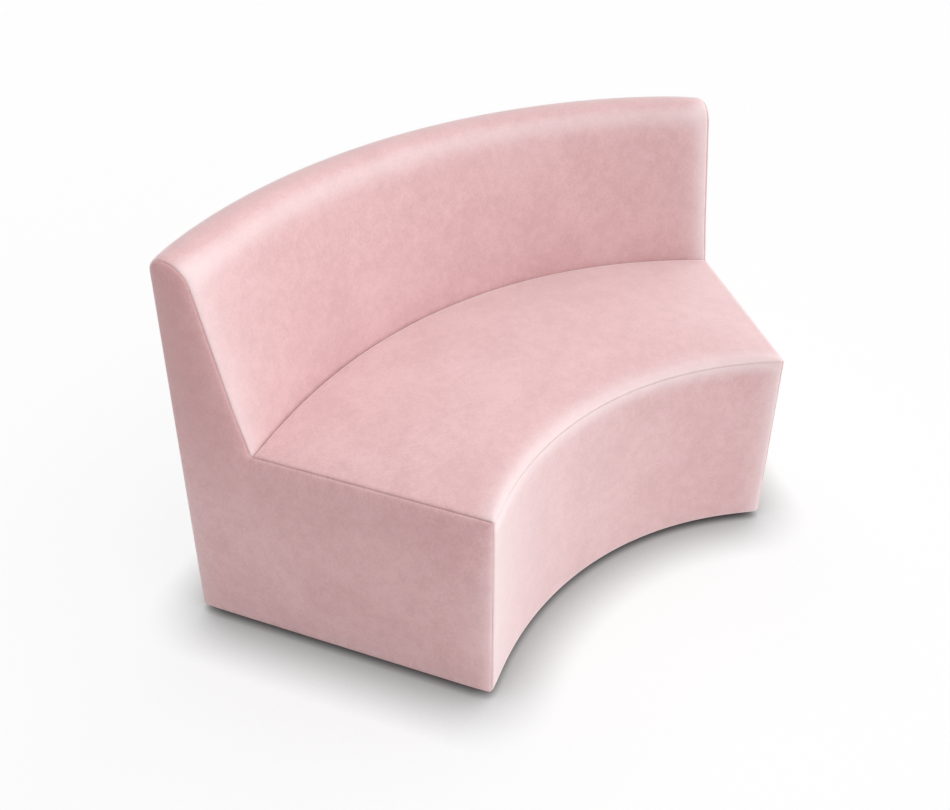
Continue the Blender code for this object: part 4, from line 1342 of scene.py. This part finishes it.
class SOFA_OT_dust_cover(bpy.types.Operator):
    """Stretch the dust cover below the base and staple its edge"""

    bl_idname = "sofa.dust_cover"
    bl_label = "Dust cover and staples"

    def execute(self, context):
        low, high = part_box("dust_cover")
        bm = node_copy("dust_cover")
        bmesh.ops.delete(bm, geom=[face for face in bm.faces if face.normal.z < 0.5], context="FACES")
        self.staple(rim_of(bm), low.z)
        bm.faces.layers.int.new("cut")
        size = high - low
        lines = [(low, (1.0, 0.0, 0.0), size.x), (low, (0.0, 1.0, 0.0), size.y)]
        cut_grid(bm, bm.faces[:], lines, DUST_GRID)
        area = sum(face.calc_area() for face in bm.faces)
        along, across, skew = DUST_TURNS
        for vert in bm.verts:
            wave = math.sin(vert.co.x * along) * math.sin(vert.co.y * across + vert.co.x * skew)
            vert.co.z = high.z - DUST_WAVE * (1.0 + wave)
        obj = add_piece("dust_cover_cloth", bm, shared("dust_cloth", dust_material))
        thicken(obj, DUST_THICKNESS)
        obj.data.shade_smooth()
        dress(obj, "dust_cloth", "dust_cover")
        return {"FINISHED"}

    def staple(self, rim, height):
        """Rounded staple crowns along a rim."""
        bm = bmesh.new()
        side = np.roll(rim, -1, axis=0) - rim
        run = np.linalg.norm(side, axis=1)
        along = np.concatenate([[0.0], np.cumsum(run)])
        for where in np.arange(STAPLE_STEP / 2.0, along[-1], STAPLE_STEP):
            k = int(np.searchsorted(along, where, side="right")) - 1
            way = side[k] / run[k]
            x, y = rim[k] + way * (where - along[k]) + np.array((-way[1], way[0])) * STAPLE_INSET
            turn = Matrix.Translation((x, y, height)) @ Matrix.Rotation(math.atan2(way[1], way[0]), 4, "Z")
            bmesh.ops.create_cube(bm, size=1.0, matrix=turn @ Matrix.Diagonal((*STAPLE_SIZE, 1.0)))
        bevel(bm, bm.edges[:], STAPLE_SIZE[2] * 0.3, 2)
        obj = add_piece("dust_cover_staples", bm, shared("zinc_steel", steel_material))
        smooth_by_angle(obj)
        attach(obj, "root")


class SOFA_OT_glides(bpy.types.Operator):
    """Turn the levelling glides: a moulded foot on a threaded stem"""

    bl_idname = "sofa.glides"
    bl_label = "Glides"

    def execute(self, context):
        nylon = shared("moulded_nylon", nylon_material)
        steel = shared("zinc_steel", steel_material)
        for node in sorted(frame["bodies"]):
            if not node.startswith("glide_"):
                continue
            low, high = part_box(node)
            place = ((low.x + high.x) / 2.0, (low.y + high.y) / 2.0)
            radius = (high.x - low.x) / 2.0
            foot = [(radius * part, height) for part, height in GLIDE_RIM] + list(GLIDE_NECK)
            turns = np.arange(foot[-1][1], high.z - THREAD_END, THREAD_PITCH)
            stem = [point for z in turns
                    for point in ((THREAD_CORE, z + THREAD_PITCH * 0.25), (THREAD_CREST, z + THREAD_PITCH * 0.75))]
            tip = [(THREAD_CORE, high.z - TIP_CHAMFER), (THREAD_CORE - TIP_CHAMFER, high.z), (0.0, high.z)]
            bm = turned(foot + stem + tip, place)
            obj = add_piece(node + "_foot", bm, nylon)
            obj.data.materials.append(steel)
            for face in obj.data.polygons:
                away = math.dist(face.center.xy, place)
                face.material_index = int(face.center.z > STEM_FROM and away < STEM_WITHIN)
            smooth_by_angle(obj)
            dress(obj, "nylon", node, body=node)
        return {"FINISHED"}


class SOFA_OT_links(bpy.types.Operator):
    """Cut the link plates and turn their bolts and studs"""

    bl_idname = "sofa.links"
    bl_label = "Links"

    def execute(self, context):
        steel = shared("zinc_steel", steel_material)
        for end in ("front", "rear"):
            for kind in ("link_bolt_", "link_stud_"):
                self.bolt(kind + end, steel)
            self.plate("link_" + end, "link_bolt_" + end, steel)
        return {"FINISHED"}

    def bolt(self, node, steel):
        low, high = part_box(node)
        place = ((low.x + high.x) / 2.0, (low.y + high.y) / 2.0)
        head = (high.x - low.x) / 2.0
        profile = [(radius, low.z + rise) for radius, rise in BOLT_SOCKET]
        profile += [(head * part, low.z + rise) for part, rise in BOLT_HEAD]
        profile += [(BOLT_RADIUS, profile[-1][1]), (BOLT_RADIUS, high.z - 0.0010), (BOLT_RADIUS * 0.75, high.z),
                    (0.0, high.z)]
        obj = add_piece(node + "_turned", turned(profile, place), steel)
        smooth_by_angle(obj)
        dress(obj, "steel", node)

    def plate(self, node, bolt, steel):
        s = shape()
        low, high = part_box(node)
        pivot = sum(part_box(bolt), Vector()) / 2.0
        outline = link_outline()
        bm = bmesh.new()
        rim = bmesh.ops.create_circle(bm, cap_ends=False, segments=len(outline), radius=1.0)["verts"]
        for vert, (along, across) in zip(rim, outline):
            vert.co = (along, across, 0.0)
        bmesh.ops.create_circle(bm, cap_ends=False, segments=48, radius=BOLT_RADIUS + BORE_FIT)
        faces = bmesh.ops.triangle_fill(bm, edges=bm.edges[:], use_beauty=True, use_dissolve=False)["geom"]
        faces = [part for part in faces if isinstance(part, bmesh.types.BMFace)]
        raised = bmesh.ops.extrude_face_region(bm, geom=faces, use_keep_orig=True)["geom"]
        raised = [part for part in raised if isinstance(part, bmesh.types.BMVert)]
        bmesh.ops.translate(bm, vec=(0.0, 0.0, high.z - low.z), verts=raised)
        bmesh.ops.recalc_face_normals(bm, faces=bm.faces)
        rims = [edge for edge in bm.edges if len(edge.link_faces) == 2 and edge.calc_face_angle() > 1.0]
        bevel(bm, rims, LINK_ROUND, 2)
        turn = Matrix.Translation((pivot.x, pivot.y, low.z)) @ Matrix.Rotation(math.pi / 2 - s.end_angle, 4, "Z")
        bmesh.ops.transform(bm, matrix=turn, verts=bm.verts)
        obj = add_piece(node + "_plate", bm, steel)
        smooth_by_angle(obj)
        dress(obj, "steel", node, body=node)


FLOOR_HALF = 30.0
FLOOR_WHITE = 0.75
FLOOR_SHADE_REACH = 0.13
FLOOR_SHADE_POWER = 1.6
FLOOR_GAP_REACH = 0.02
# Spread, azimuth and elevation of each lamp in degrees
LAMPS = {"front": (90.0, 12.0, 40.0), "top": (60.0, 160.0, 65.0), "right": (110.0, 55.0, 30.0),
         "low": (60.0, 90.0, 12.0)}
CAMERA_PLACE = (-1.3055, -1.4254, 1.6420)
CAMERA_AZIMUTH = -39.2399
CAMERA_ELEVATION = 28.7149
FOCAL_PIXELS = 996.2
CENTRE_ROW = 300.0
IMAGE_WIDTH = 950.0
IMAGE_HEIGHT = 810.0


def seen_ray(tree):
    """1 for a ray that shows the stage to the camera, also in metal."""
    path = add_node(tree, "ShaderNodeLightPath").outputs
    seen = math_of(tree, "MAXIMUM", path["Is Camera Ray"], path["Is Glossy Ray"])
    return math_of(tree, "MAXIMUM", seen, path["Is Transmission Ray"])


def make_floor():
    bm = bmesh.new()
    bmesh.ops.create_grid(bm, x_segments=2, y_segments=2, size=FLOOR_HALF)
    material, tree, shader = new_material("studio_floor")
    set_inputs(tree, shader, {"Base Color": (*studio().floor, 1.0), "Roughness": 1.0, "Specular IOR Level": 0.0})
    # The floor's white glow darkens by ambient occlusion near the sofa and in the gap below it: a painted contact
    # shadow
    nearby, gap = (add_node(tree, "ShaderNodeAmbientOcclusion", {"Distance": away}, samples=12).outputs["AO"]
                   for away in (FLOOR_SHADE_REACH, FLOOR_GAP_REACH))
    shade = math_of(tree, "MULTIPLY", math_of(tree, "POWER", nearby, FLOOR_SHADE_POWER), gap)
    white = add_node(tree, "ShaderNodeEmission", {"Strength": shade})
    share_white = math_of(tree, "MULTIPLY_ADD", gap, FLOOR_WHITE - 1.0, 1.0)
    share_seen = math_of(tree, "MULTIPLY", seen_ray(tree), share_white)
    mixed = add_node(tree, "ShaderNodeMixShader", {0: share_seen, 1: shader.outputs[0], 2: white.outputs[0]})
    set_inputs(tree, tree.nodes["Material Output"], {"Surface": mixed.outputs[0]})
    add_piece("floor", bm, material)


def add_sun(name, strength, spread_angle, azimuth, elevation):
    lamp = bpy.data.lights.new(name, "SUN")
    lamp.energy = strength
    lamp.angle = math.radians(spread_angle)
    obj = bpy.data.objects.new(name, lamp)
    obj.rotation_euler = (math.radians(90.0 - elevation), 0.0, math.radians(azimuth))
    bpy.context.scene.collection.objects.link(obj)


def make_light():
    light = studio()
    world = bpy.data.worlds.new("studio_sky")
    world.use_nodes = True
    bpy.context.scene.world = world
    tree = world.node_tree
    strength = range_of(tree, seen_ray(tree), light.sky, 1.0)
    set_inputs(tree, tree.nodes["Background"], {"Strength": strength, "Color": (1.0, 1.0, 1.0, 1.0)})
    for name, place in LAMPS.items():
        add_sun(name + "_lamp", getattr(light, name), *place)


def make_camera():
    lens = bpy.data.cameras.new("camera")
    lens.sensor_width = 36.0
    lens.lens = FOCAL_PIXELS / IMAGE_WIDTH * lens.sensor_width
    lens.shift_y = (CENTRE_ROW - IMAGE_HEIGHT / 2.0) / IMAGE_WIDTH
    obj = bpy.data.objects.new("camera", lens)
    obj.location = CAMERA_PLACE
    obj.rotation_euler = (math.radians(90.0 - CAMERA_ELEVATION), 0.0, math.radians(CAMERA_AZIMUTH))
    bpy.context.scene.collection.objects.link(obj)
    bpy.context.scene.camera = obj
    bpy.context.scene.view_settings.view_transform = "Standard"


class SOFA_OT_stage(bpy.types.Operator):
    """Set the floor, the light and the camera"""

    bl_idname = "sofa.stage"
    bl_label = "Studio"

    def execute(self, context):
        make_floor()
        make_light()
        make_camera()
        return {"FINISHED"}


class SOFA_PT_dressing(bpy.types.Panel):
    """Steps and settings of the dressing"""

    bl_idname = "SOFA_PT_dressing"
    bl_label = "Sofa dressing"
    bl_space_type = "VIEW_3D"
    bl_region_type = "UI"
    bl_category = "Sofa"

    def draw(self, context):
        for operator in OPERATORS:
            self.layout.operator(operator.bl_idname)
        for group in SETTINGS:
            settings = getattr(context.scene, group)
            box = self.layout.box()
            for key in settings.bl_rna.properties.keys():
                if key not in {"rna_type", "name"}:
                    box.prop(settings, key)


SETTINGS = {"sofa_shape": SofaShape, "velvet_cut": VelvetCut, "velvet_look": VelvetLook,
            "studio_light": StudioLight}
OPERATORS = (SOFA_OT_front, SOFA_OT_seat, SOFA_OT_inner_back, SOFA_OT_outer_back, SOFA_OT_ends,
             SOFA_OT_padding, SOFA_OT_webbing, SOFA_OT_timber, SOFA_OT_dust_cover, SOFA_OT_glides,
             SOFA_OT_links, SOFA_OT_stage)


def register():
    for group, kind in SETTINGS.items():
        bpy.utils.register_class(kind)
        setattr(bpy.types.Scene, group, bpy.props.PointerProperty(type=kind))
    for kind in (*OPERATORS, SOFA_PT_dressing):
        bpy.utils.register_class(kind)


def unregister():
    for kind in reversed((*OPERATORS, SOFA_PT_dressing)):
        bpy.utils.unregister_class(kind)
    for group, kind in SETTINGS.items():
        delattr(bpy.types.Scene, group)
        bpy.utils.unregister_class(kind)


def main():
    register()
    for operator in OPERATORS:
        group, step = operator.bl_idname.split(".")
        getattr(getattr(bpy.ops, group), step)()


if __name__ == "__main__":
    main()
